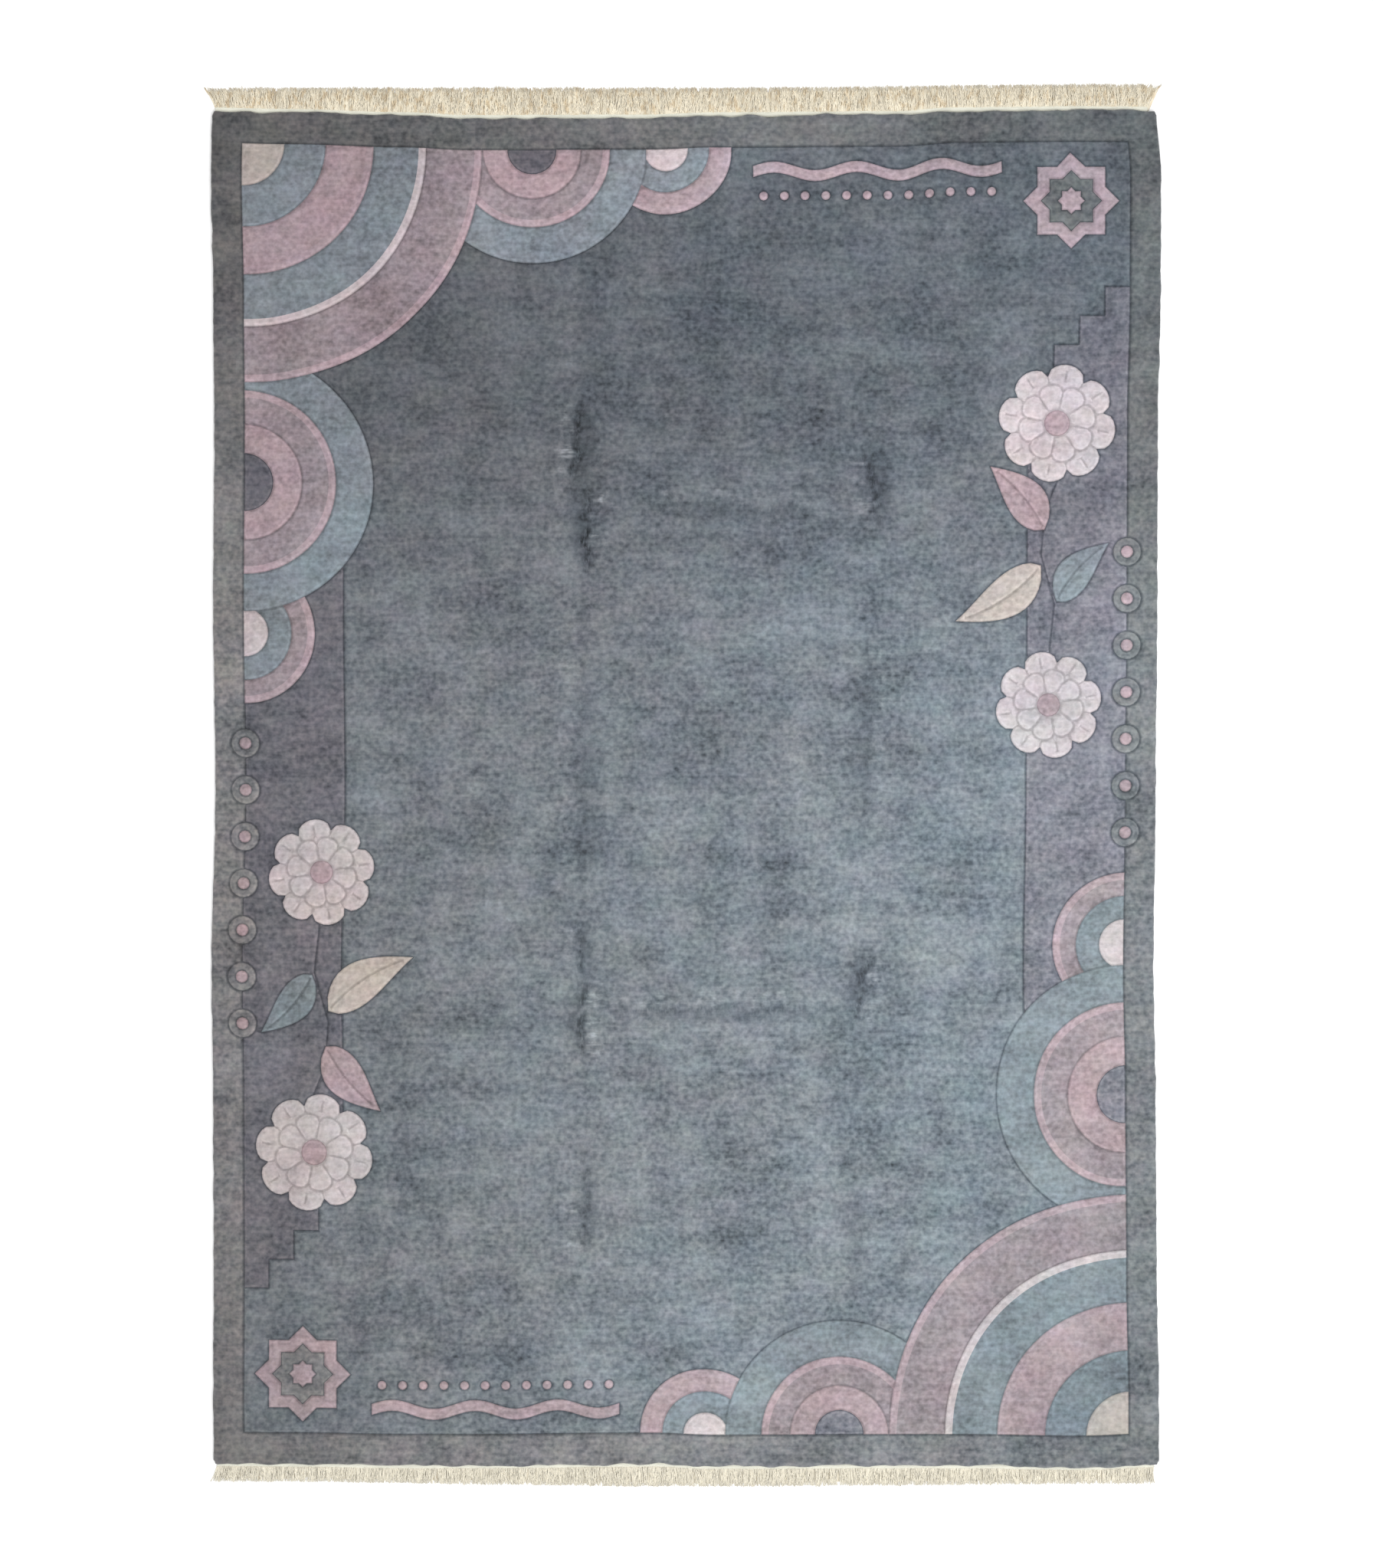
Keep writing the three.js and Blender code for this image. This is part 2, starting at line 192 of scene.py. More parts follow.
# The rim: how far its tufts sway at the sides and ends, how far they hang over the web ends, how long a
# tuft is, and the rim's profile as inset and height
SIDE_SWAY, END_SWAY = 1.6, 5
END_OVERHANG = 2.2
TUFT = 34
RIM_DROP = 0.3
RIM = [
    (6.5, 14), (4.2, 13.5), (2.2, 12.3), (0.7, 10.2), (0, 7.6), (0.2, 4.6), (1.4, 1.9), (3.6, 0.4), (6.5, 0),
]

# The stage, in metres, and the photograph's frame
FLOOR_HALF = 9
FLOOR_HEIGHT = -0.0003
LAMP_SIZE = 2.8
LAMP_PLACE = (1.1, -1.5, 4.6)
PIXEL_MM = 1.379
PHOTO_HEIGHT = 2046
PHOTO_MIDDLE = (0.5, 6.0)


def linear(value):
    """A display value from 0 to 255 as scene light."""
    share = value / 255
    return share / 12.92 if share <= 0.04045 else ((share + 0.055) / 1.055) ** 2.4


def dye(name, words, red, green, blue):
    """A colour property whose default is written as display values."""
    return FloatVectorProperty(
        name=name, description=words, subtype="COLOR", size=3, min=0, max=1,
        default=(linear(red), linear(green), linear(blue)),
    )


def length(name, words, millimetres):
    """A length property whose default is written in millimetres."""
    return FloatProperty(
        name=name, description=words, default=millimetres * MM, min=0, unit="LENGTH", precision=4,
    )


class RugDyes(bpy.types.PropertyGroup):
    """Dyed wools of the pile and the raw cotton of the ends."""

    field: dye("Field", "Blue-grey wool of the open middle", 119, 126, 133)
    border: dye("Border", "Grey wool outside the frame line", 130, 131, 134)
    sky: dye("Sky", "Pale blue wool", 138, 149, 157)
    mauve: dye("Mauve", "Dusty mauve wool", 161, 150, 156)
    rose: dye("Rose", "Dusty rose wool", 181, 162, 168)
    pink: dye("Pink", "Pale pink wool", 184, 166, 173)
    blush: dye("Blush", "Near-white pink wool", 211, 202, 205)
    cream: dye("Cream", "Raw cream wool", 202, 193, 187)
    plum: dye("Plum", "Plum-grey wool of the side panels", 128, 128, 137)
    warp: dye("Warp", "Cotton of the fringe", 234, 228, 211)
    # Painted shade deep between the strands, also the colour of the yellow stains at the head
    shade_and_stain: dye("Shade", "Cotton deep between the strands", 205, 184, 148)
    web: dye("Web", "Cotton of the flat-woven web ends", 229, 228, 213)


class RugPile(bpy.types.PropertyGroup):
    """Sizes of the pile's surface."""

    line_depth: length("Line depth", "How deep the lines are sheared", 4.2)
    fold_depth: length("Fold depth", "How far the pile parts along a fold crease", 2.6)
    unevenness: length("Unevenness", "Rise and fall of the pile's top", 0.7)
    knot_across: length("Knot width", "Width of one knot", 3.3)
    knot_along: length("Knot height", "Height of one knot", 3.0)
    seed: IntProperty(name="Seed", description="Start of the random draws", default=5, min=0)


class RugFringe(bpy.types.PropertyGroup):
    """Sizes of the fringes."""

    strand: length("Strand", "Thickness of one strand", 1.5)
    bunch: length("Bunch", "Width of one bunch of strands", 8.6)
    strands: IntProperty(name="Strands", description="Strands in a bunch", default=17, min=1, max=22)
    stray: length("Stray", "How unevenly the tips are cut", 1.0)
    seed: IntProperty(name="Seed", description="Start of the random draws", default=11, min=0)


class RugStage(bpy.types.PropertyGroup):
    """Floor, light and camera."""

    floor: dye("Floor", "Colour of the floor", 252, 252, 252)
    sky: FloatProperty(name="Sky", description="Strength of the even light", default=0.95, min=0)
    lamp: FloatProperty(
        name="Lamp", description="Power of the soft lamp over the foot", default=150, min=0, unit="POWER",
    )
    lens: FloatProperty(
        name="Lens", description="Focal length of the camera", default=85, min=20, unit="CAMERA",
    )


# Plan geometry


def eased(rows, column, at):
    """A column of a table read at some places, eased between the rows around them."""
    rows = np.array(rows, float)
    at = np.clip(at, rows[0, 0], rows[-1, 0])
    high = np.clip(np.searchsorted(rows[:, 0], at, side="right"), 1, len(rows) - 1)
    low = high - 1
    share = (at - rows[low, 0]) / (rows[high, 0] - rows[low, 0])
    share = share * share * (3 - 2 * share)
    return rows[low, column] * (1 - share) + rows[high, column] * share


def bent(points):
    """Plan points laid on the hand-woven outline."""
    x, y = points[:, 0], points[:, 1]
    across = np.clip(x / PILE_WIDTH + 0.5, 0, 1)
    along = np.clip(y / PILE_LENGTH + 0.5, 0, 1)
    side = eased(SIDE_EDGES, 1, y) * (1 - across) + eased(SIDE_EDGES, 2, y) * across
    end = eased(END_EDGES, 2, x) * (1 - along) + eased(END_EDGES, 1, x) * along
    return np.stack([x + side, y + end], axis=1)


def divided(corners, closed=True):
    """A line of corners with points added so that no stretch is longer than a station."""
    corners = np.array(corners, float)
    ends = np.roll(corners, -1, axis=0) if closed else corners[1:]
    points = []
    for start, end in zip(corners, ends):
        count = max(1, math.ceil(np.linalg.norm(end - start) / STATION))
        points.extend(start + (end - start) * k / count for k in range(count))
    if not closed:
        points.append(corners[-1])
    return np.array(points)


def rectangle(x0, y0, x1, y1):
    return np.array([(x0, y0), (x1, y0), (x1, y1), (x0, y1)], float)


def headings(angles):
    """Steps of length 1 in the given directions."""
    return np.stack([np.cos(angles), np.sin(angles)], axis=-1)


def circle(x, y, radius):
    angles = np.arange(0, TAU, TAU / max(12, math.ceil(TAU * radius / STATION)))
    return (x, y) + radius * headings(angles)


def clipped(outline):
    """An outline cut off at the frame line."""
    for axis, limit in ((0, FRAME_X), (1, FRAME_Y)):
        for way in (1, -1):
            kept = []
            for start, end in zip(outline, np.roll(outline, -1, axis=0)):
                inside = way * start[axis] <= limit
                if inside:
                    kept.append(start)
                if inside != (way * end[axis] <= limit):
                    share = (way * limit - start[axis]) / (end[axis] - start[axis])
                    cut = start + (end - start) * share
                    cut[axis] = way * limit
                    kept.append(cut)
            outline = np.array(kept)
    return outline


def contains(outline, points):
    """Which of the points lie within a closed outline."""
    inside = np.zeros(len(points), bool)
    near = np.flatnonzero(np.all((points > outline.min(0)) & (points < outline.max(0)), axis=1))
    x, y = points[near].T
    odd = np.zeros(len(near), bool)
    for (x0, y0), (x1, y1) in zip(outline, np.roll(outline, -1, axis=0)):
        if y0 != y1:
            odd ^= ((y0 > y) != (y1 > y)) & (x < (x1 - x0) * (y - y0) / (y1 - y0) + x0)
    inside[near] = odd
    return inside


# Motifs of the pile. A carved one has a line sheared round it


Motif = collections.namedtuple("Motif", "dye outline carved")


def panel_outline():
    run = PANEL.width / (PANEL.steps + 1)
    inner = FRAME_X - PANEL.width
    outline = [(inner, PANEL.foot), (FRAME_X, PANEL.foot), (FRAME_X, PANEL.head)]
    for k in range(1, PANEL.steps + 1):
        x = FRAME_X - run * k
        outline += [(x, PANEL.head - PANEL.step * (k - 1)), (x, PANEL.head - PANEL.step * k)]
    outline.append((inner, PANEL.head - PANEL.step * PANEL.steps))
    return np.array(outline, float)


def rippled(share):
    """A point of the ribbon's middle line."""
    x = RIBBON.start + (RIBBON.end - RIBBON.start) * share
    return x, RIBBON.y + RIBBON.ripple * np.sin(TAU * RIBBON.waves * share)


def ribbon_motifs():
    x, y = rippled(np.linspace(0, 1, 16 * RIBBON.waves + 1))
    half = RIBBON.width / 2
    low, high = np.stack([x, y - half], axis=1), np.stack([x, y + half], axis=1)
    yield Motif("pink", np.concatenate([low, high[::-1]]), True)
    for share in (np.arange(BEADS.count) + 0.5) / BEADS.count:
        x = RIBBON.start + (RIBBON.end - RIBBON.start) * share
        yield Motif("pink", circle(x, RIBBON.y - BEADS.drop, BEADS.radius), True)


def fan_motifs():
    for along, down, rings in FANS:
        for radius, wool, piping in rings:
            centre = (along - FRAME_X, FRAME_Y - down)
            yield Motif(piping or wool, circle(*centre, radius), True)
            if piping:
                yield Motif(wool, circle(*centre, radius - PIPING), False)


def star_motifs():
    for radius, wool in STAR_RINGS:
        reaches = radius * np.tile([1, STAR_VALLEY], STAR_POINTS)
        angles = TAU * np.arange(len(reaches)) / len(reaches)
        centre = (FRAME_X - STAR_INSET, FRAME_Y - STAR_INSET)
        yield Motif(wool, centre + reaches[:, None] * headings(angles), True)


def leaf_edge(leaf, shares, side):
    """Points on one edge of a leaf, or on its vein where side is 0."""
    x, y, tip_x, tip_y, width, bow, _ = leaf
    stalk = np.array([x, y], float)
    run = np.array([tip_x, tip_y]) - stalk
    across = np.array([-run[1], run[0]]) / np.linalg.norm(run)
    out = 4 * bow * shares * (1 - shares) + side * width / 2 * np.sin(math.pi * shares**LEAF_BELLY)
    return stalk + shares[:, None] * run + out[:, None] * across


def leaf_motifs():
    shares = np.linspace(0, 1, 15)
    for leaf in LEAVES:
        outward = leaf_edge(leaf, shares[:-1], -1)
        homeward = leaf_edge(leaf, shares[:0:-1], 1)
        yield Motif(leaf[-1], np.concatenate([outward, homeward]), True)


def rosette_motifs():
    """Rows of round petals, each row one scalloped wheel, round an eye."""
    for x, y, radius, turn in ROSETTES:
        for reach, shift, _ in PETAL_ROWS:
            petals = np.arange(0, PETALS, 1 / 9)
            scallop = 1 - PETAL_NOTCH * (1 - np.sqrt(np.sin(math.pi * (petals % 1))))
            angles = math.radians(turn) + TAU * (petals + shift) / PETALS
            wheel = radius * reach * scallop[:, None] * headings(angles)
            yield Motif("blush", wheel + (x, y), True)
        yield Motif("rose", circle(x, y, radius * ROSETTE_EYE), True)


def petal_lines():
    """The lines between petals, and a short one up the middle of each outer petal."""
    for x, y, radius, turn in ROSETTES:
        rows = [(start, reach * (1 - PETAL_NOTCH), shift) for reach, shift, start in PETAL_ROWS]
        for start, stop, shift in [*rows, PETAL_VEIN]:
            for way in headings(math.radians(turn) + TAU * (np.arange(PETALS) + shift) / PETALS):
                yield np.array([(x, y) + way * radius * start, (x, y) + way * radius * stop])


def pearl_motifs():
    for k in range(PEARLS.count):
        y = PEARLS.first + PEARLS.pitch * k
        yield Motif("border", circle(FRAME_X, y, PEARLS.radius), True)
        yield Motif("rose", circle(FRAME_X, y, PEARLS.core), True)


def rug_motifs():
    """Every motif, back to front. Each but the field comes twice, the second one half round the rug."""
    yield Motif("border", rim_outline(RIM[0][0]), False)
    yield Motif("field", rectangle(-FRAME_X, -FRAME_Y, FRAME_X, FRAME_Y), True)
    inner = [Motif("plum", panel_outline(), True), *ribbon_motifs(), *fan_motifs()]
    inner += [*star_motifs(), *leaf_motifs(), *rosette_motifs()]
    inner = [motif._replace(outline=clipped(motif.outline)) for motif in inner]
    for motif in inner + list(pearl_motifs()):
        for turn in (1, -1):
            yield motif._replace(outline=motif.outline * turn)


def carved_strokes(motifs):
    """Open carved lines, each with the numbers of the motifs that it shows on: stems, veins and petals."""
    grounds = {k for k, motif in enumerate(motifs) if motif.dye in ("field", "plum")}
    veins = [leaf_edge(leaf, np.linspace(0.05, 0.9, 12), 0) for leaf in LEAVES]
    for turn in (1, -1):
        yield np.array(STEM, float) * turn, grounds
        for stroke in veins + list(petal_lines()):
            middle = stroke[[0, -1]].mean(0) * turn
            yield stroke * turn, {motif_numbers(motifs, middle[None])[0]}


# Mesh of the pile


def rim_outline(inset):
    """The plan's outer edge, moved in by an inset. Its points match those of any other inset."""
    straight = (PILE_WIDTH / 2 - CORNER_RADIUS, PILE_LENGTH / 2 - CORNER_RADIUS)
    corners = []
    for side, end, start in ((1, -1, -90), (1, 1, 0), (-1, 1, 90), (-1, -1, 180)):
        for outward in headings(np.radians(start + np.linspace(0, 90, 5))):
            corners.append((np.array([side, end]) * straight, outward))
    points = []
    for (centre, outward), (next_centre, next_outward) in zip(corners, corners[1:] + corners[:1]):
        count = max(1, round(np.linalg.norm(next_centre - centre) / STATION))
        for share in np.arange(count) / count:
            way = outward + (next_outward - outward) * share
            points.append(centre + (next_centre - centre) * share + way * (CORNER_RADIUS - inset))
    return np.array(points)


def triangulated(points, edges):
    """Triangles over plan points that keep the given edges: points, triangles, where each given point
    went, and the given edges that each edge of the result lies on."""
    vectors = [Vector(point) for point in points]
    made = delaunay_2d_cdt(vectors, [tuple(map(int, edge)) for edge in edges], [], 0, 0.01, True)
    found = np.array([tuple(point) for point in made[0]])
    triangles = np.array(made[2])
    a, b, c = (found[triangles[:, k]] for k in range(3))
    turned = (b[:, 0] - a[:, 0]) * (c[:, 1] - a[:, 1]) < (b[:, 1] - a[:, 1]) * (c[:, 0] - a[:, 0])
    triangles[turned] = triangles[turned][:, ::-1]
    went = np.zeros(len(points), int)
    for k, origins in enumerate(made[3]):
        went[origins] = k
    return found, triangles, went, dict(zip((tuple(sorted(edge)) for edge in made[1]), made[4]))


def edges_round(first, count, closed=True):
    """Edges from point to point of a line, and from its last point to its first where it is closed."""
    return [(first + k, first + (k + 1) % count) for k in range(count if closed else count - 1)]


def motif_numbers(motifs, places):
    """The number of the front motif at each place."""
    numbers = np.zeros(len(places), int)
    for k, motif in enumerate(motifs):
        numbers[contains(motif.outline, places)] = k
    return numbers


def drawn_plan(motifs):
    """Triangles between all the lines of the pattern, and those lines: points, links and which are carved.
    A link has the motif in front on its left."""
    rings = [motifs[0].outline] + [divided(motif.outline) for motif in motifs[1:]]
    drawn = [(ring, True, ()) for ring in rings]
    drawn += [(divided(stroke, closed=False), False, shown) for stroke, shown in carved_strokes(motifs)]
    points, edges, hosts = [], [], []
    for line, closed, shown in drawn:
        added = edges_round(len(points), len(line), closed)
        points.extend(line)
        edges += added
        hosts += [shown] * len(added)
    found, triangles, went, origins = triangulated(np.array(points), edges)
    numbers = motif_numbers(motifs, found[triangles].mean(axis=1))
    sides = collections.defaultdict(list)
    for triangle, number in zip(triangles.tolist(), numbers.tolist()):
        for a, b in zip(triangle, triangle[1:] + triangle[:1]):
            sides[min(a, b), max(a, b)].append((number, a, b))
    links, carved = [], []
    for edge, both in sides.items():
        (back, _, _), (front, a, b) = min(both), max(both)
        if back != front:
            links.append((a, b))
            carved.append(motifs[front].carved or back == 0)
        elif any(front in hosts[k] for k in origins[edge]):
            links.append((a, b))
            carved.append(True)
    rim = went[: len(rings[0])]
    return found, triangles, numbers, rim, np.array(links), np.array(carved)


def gap_to_lines(points, lines):
    """Distance from each point to the nearest line, up to the reach of a slope, and whether it lies to the
    line's left: 1 where it does, 0 where it doesn't, and a half on the line."""
    gaps = np.full(len(points), float(SLOPE_REACH))
    lefts = np.full(len(points), 0.5)
    cell = 3 * SLOPE_REACH
    starts, runs = lines[:, 0], lines[:, 1] - lines[:, 0]
    middles = lines.mean(axis=1)
    margin = SLOPE_REACH + np.linalg.norm(runs, axis=1).max() / 2
    keys = np.floor(points / cell).astype(int)
    order = np.lexsort(keys.T)
    breaks = np.flatnonzero(np.any(np.diff(keys[order], axis=0), axis=1)) + 1
    for members in np.split(order, breaks):
        low = keys[members[0]] * cell - margin
        near = np.all((middles > low) & (middles < low + cell + 2 * margin), axis=1)
        if near.any():
            start, run = starts[near], runs[near]
            apart = points[members, None] - start
            share = np.clip((apart * run).sum(2) / (run * run).sum(1), 0, 1)
            away = np.linalg.norm(apart - share[..., None] * run, axis=2)
            nearest = (np.arange(len(members)), away.argmin(1))
            gaps[members] = np.minimum(SLOPE_REACH, away[nearest])
            turned = (run[:, 0] * apart[..., 1] - run[:, 1] * apart[..., 0])[nearest]
            lefts[members] = np.where(away[nearest] < 0.3, 0.5, turned > 0)
    return gaps, lefts


def clear_of(lines, points, gap):
    """The points that are farther than a gap from every line."""
    return points[gap_to_lines(points, lines)[0] > gap]


def shoulder_points(nodes, links, distance):
    """Points at a distance from a web of lines, one in each gap between neighbouring lines."""
    spokes = collections.defaultdict(list)
    for a, b in links:
        run = nodes[b] - nodes[a]
        angle = math.atan2(run[1], run[0])
        spokes[a].append(angle % TAU)
        spokes[b].append((angle + math.pi) % TAU)
    points = []
    for node, angles in spokes.items():
        angles.sort()
        for k, angle in enumerate(angles):
            gap = (angles[(k + 1) % len(angles)] - angle) % TAU or TAU
            reach = distance / max(math.sin(gap / 2), 0.4) if gap < 0.95 * TAU else distance
            points.append(nodes[node] + reach * headings(angle + gap / 2))
    return np.array(points)


def crease_ways(crease):
    """Steps of length 1 across and along a crease."""
    return headings(np.radians([crease.lean, crease.lean + 90]))


def crease_frame(crease, points):
    """Points in a crease's own directions, as shares of its half length and in millimetres across it."""
    across, along = crease_ways(crease) @ (points - (crease.x, crease.y)).T
    return along / (crease.length / 2), across


def wandering(crease, along):
    """How far the parting of a crease strays from its axis, in millimetres, at shares of its half length."""
    (far, slow), (little, quick) = PARTING_STRAYS
    return np.array([
        far * noise.noise((share * crease.length / slow, crease.x, crease.y))
        + little * noise.noise((share * crease.length / quick, crease.y, crease.x))
        for share in along
    ])


def parting_points(crease):
    """Rows of points along the parting of a crease."""
    along = np.linspace(-1, 1, round(crease.length / STATION) + 1)
    middle = wandering(crease, along)
    out, up = crease_ways(crease)
    axis = (crease.x, crease.y) + along[:, None] * crease.length / 2 * up
    return [axis + (middle + side)[:, None] * out for side in PARTING_ROWS]


def crease_depths(points):
    """How deep each point lies in the hollows of the creases, how far it lies in a parting and on the tufts
    that turn up beside it, 0 to 1, and how its slope catches the light, -1 to 1."""
    hollow, parting, ruffle, slope = np.zeros((4, len(points)))
    for crease in CREASES:
        along, across = crease_frame(crease, points)
        near = np.flatnonzero((np.abs(along) < 1) & (np.abs(across) < crease.width))
        along, across = along[near], across[near]
        share = crease.depth / DEEPEST_CREASE
        turn = across / (crease.width / 2)
        span = 1 - np.clip(along**2 + turn**2, 0, 1)
        hollow[near] = np.maximum(hollow[near], crease.depth * span**1.5)
        slope[near] += crease.lit * share * 2 * span**0.5 * turn * np.exp(0.5 - 2 * turn**2)
        off = (across - wandering(crease, along)) / PARTING_REACH
        patchy = np.array([noise.noise((k * crease.length / PARTING_PATCH, crease.x, 3)) for k in along])
        fade = (1 - along**4) * share**2
        open_parting = np.exp(-off * off) * fade * np.clip(1 + 1.6 * patchy, 0, 1)
        parting[near] = np.maximum(parting[near], open_parting)
        beside = np.exp(-(((off * crease.lit - TUFTS_OFF) / TUFTS_WIDE) ** 2))
        ruffle[near] = np.maximum(ruffle[near], beside * fade * np.clip(0.3 + 3 * patchy, 0, 1))
    return hollow, parting, ruffle, slope


def fill_points(rng):
    """An uneven lattice of points over the pile."""
    rows = int((PILE_LENGTH - 30) / (FILL * ROW_PITCH))
    columns = int((PILE_WIDTH - 30) / FILL)
    column, row = np.meshgrid(np.arange(columns), np.arange(rows))
    x = (column + 0.5 * (row % 2) - columns / 2 + 0.25) * FILL
    y = (row - rows / 2 + 0.5) * FILL * ROW_PITCH
    points = np.stack([x.ravel(), y.ravel()], axis=1)
    return points + rng.uniform(-0.22, 0.22, points.shape) * FILL


def pile_heights(points, gaps, settings):
    """Height of the pile's top in millimetres, and how far each point lies in the parts of a crease."""
    hollow, parting, ruffle, slope = crease_depths(points)
    share = np.clip(gaps / SHOULDERS[1], 0, 1)
    carved = (1 - share) ** 2 * settings.line_depth / MM
    uneven = np.array([
        noise.noise((x / 60, y / 45, 0)) + 0.5 * noise.noise((x / 17, y / 17, 9)) for x, y in points
    ])
    dips = settings.unevenness / MM * np.clip(0.5 - uneven, 0, 1.5)
    heights = THICKNESS - carved - hollow - parting * settings.fold_depth / MM - dips
    marks = {"hollow": hollow / DEEPEST_CREASE, "parting": parting, "ruffle": ruffle, "slope": slope}
    return heights, marks


def pile_top(motifs, drawn, settings):
    """The carved top of the pile: plan points with heights, triangles, the front motif of each,
    the rim's points, and the numbers that its wool reads at each point."""
    found, _, _, rim, links, carved = drawn
    rng = np.random.default_rng(settings.seed)
    lines, carved_lines = found[links], found[links[carved]]
    extra = []
    for distance in SHOULDERS:
        points = shoulder_points(found, links[carved], distance)
        points = clear_of(carved_lines, points, 0.93 * distance)
        extra.append(clear_of(lines, points, 0.6 * distance))
    partings = [row for crease in CREASES for row in parting_points(crease)]
    extra += [clear_of(lines, row, ROW_GAP) for row in partings]
    fill = clear_of(lines, fill_points(rng), FILL_GAP)
    parting_lines = np.concatenate([np.stack([row[:-1], row[1:]], axis=1) for row in partings])
    extra.append(clear_of(parting_lines, fill, PARTING_GAP))
    ring = motifs[0].outline
    used = np.unique(links)
    place = {int(k): len(ring) + n for n, k in enumerate(used)}
    points = np.concatenate([ring, found[used], *extra])
    edges = edges_round(0, len(ring)) + [(place[int(a)], place[int(b)]) for a, b in links]
    top, triangles, went, _ = triangulated(points, edges)
    numbers = motif_numbers(motifs, top[triangles].mean(axis=1))
    gaps, lefts = gap_to_lines(top, carved_lines)
    heights, marks = pile_heights(top, gaps, settings)
    rim = went[: len(ring)]
    heights[rim] = RIM[0][1] - RIM_DROP
    marks.update(line_gap=gaps * MM, line_front=lefts)
    return np.column_stack([top, heights]), triangles, numbers, rim, marks


def rim_rings(settings):
    """Rings of points round the pile's edge, from under its top to just over the floor, tuft by tuft."""
    rng = np.random.default_rng(settings.seed + 1)
    sway = []
    for x, y in rim_outline(0):
        reach, lean = (END_SWAY, END_OVERHANG) if abs(y) > PILE_LENGTH / 2 - 1 else (SIDE_SWAY, 0)
        sway.append(lean + reach * noise.noise((x / TUFT, y / TUFT, 4)))
    rings = []
    for inset, height in RIM[1:-1]:
        ring = rim_outline(inset)
        outward = ring - rim_outline(inset + 1)
        tufts = (sway + rng.uniform(-0.5, 0.5, len(ring))) * math.sin(math.pi * height / THICKNESS)
        rises = height + rng.uniform(-0.3, 0.3, len(ring)) * (height > 1)
        rings.append(np.column_stack([ring + outward * tufts[:, None], rises]))
    return rings


def frame_shift():
    """How far the middle of the pile lies from the origin of the part's frame, in millimetres."""
    low, high = (np.array(corner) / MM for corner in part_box("pile_rug"))
    outline = bent(rim_outline(0))
    return ((low + high)[:2] - outline.min(0) - outline.max(0)) / 2


def placed(name, data, location=(0, 0, 0)):
    """An object of the scene that shows some data."""
    thing = bpy.data.objects.new(name, data)
    thing.location = location
    bpy.context.scene.collection.objects.link(thing)
    return thing


def made_piece(name, points, faces, materials, kinds, numbers=None):
    """A mesh object with smooth faces, a material for each face and numbers on its points."""
    mesh = bpy.data.meshes.new(name)
    mesh.from_pydata(points.tolist(), [], faces)
    for material in materials:
        mesh.materials.append(material)
    mesh.polygons.foreach_set("material_index", np.array(kinds, np.int32))
    mesh.polygons.foreach_set("use_smooth", np.ones(len(faces), bool))
    for label, values in (numbers or {}).items():
        attribute = mesh.attributes.new(label, "FLOAT", "POINT")
        attribute.data.foreach_set("value", np.array(values, np.float32))
    mesh.validate()
    mesh.update()
    return placed(name, mesh)


def pile_piece(settings, wools):
    """The knotted pile: carved top, tufted rim, and a back that shows the knots of the same pattern."""
    motifs = list(rug_motifs())
    drawn = drawn_plan(motifs)
    flat, flat_triangles, flat_numbers, flat_rim = drawn[:4]
    top, triangles, numbers, rim, marks = pile_top(motifs, drawn, settings)
    rings = rim_rings(settings)
    under = len(top) + sum(map(len, rings))
    points = np.concatenate([top, *rings, np.column_stack([flat, np.zeros(len(flat))])])
    loops = [rim] + [len(top) + len(rim) * k + np.arange(len(rim)) for k in range(len(rings))]
    loops.append(flat_rim + under)
    faces = triangles.tolist()
    order = {name: k for k, name in enumerate(wools)}
    kinds = [order[motifs[number].dye] for number in numbers]
    for upper, lower in zip(loops, loops[1:]):
        sides = [upper, lower, np.roll(lower, -1), np.roll(upper, -1)]
        faces += np.stack(sides, axis=1).tolist()
        kinds += [order["border"]] * len(rim)
    faces += (flat_triangles[:, ::-1] + under).tolist()
    kinds += [len(wools) + order[motifs[number].dye] for number in flat_numbers]
    for label, values in marks.items():
        plain = SLOPE_REACH * MM if label == "line_gap" else 0
        marks[label] = np.concatenate([values, np.full(len(points) - len(top), plain)])
    fronts = [wool_material(name, colour) for name, colour in wools.items()]
    backs = [back_material(name, colour) for name, colour in wools.items()]
    points = np.column_stack([bent(points[:, :2]) + frame_shift(), points[:, 2]]) * MM
    return made_piece("knotted_pile", points, faces, fronts + backs, kinds, marks)


# Web ends and fringes


def tube_faces(tubes, steps, sides, way):
    """Faces of closed tubes whose points run tube by tube, step by step and side by side. The way is 1 for
    tubes at the head and -1 for their mirror image at the foot, so that both face out."""
    a = (np.arange(tubes)[:, None, None] * steps + np.arange(steps - 1)[:, None]) * sides + np.arange(sides)
    b = a - np.arange(sides) + (np.arange(sides) + 1) % sides
    walls = np.stack([a, a + sides, b + sides, b], axis=3).reshape(-1, 4)
    root = (np.arange(tubes) * steps * sides)[:, None] + np.arange(sides)
    tip = root + (steps - 1) * sides
    faces = walls.tolist() + root.tolist() + tip[:, ::-1].tolist()
    return faces if way > 0 else [face[::-1] for face in faces]


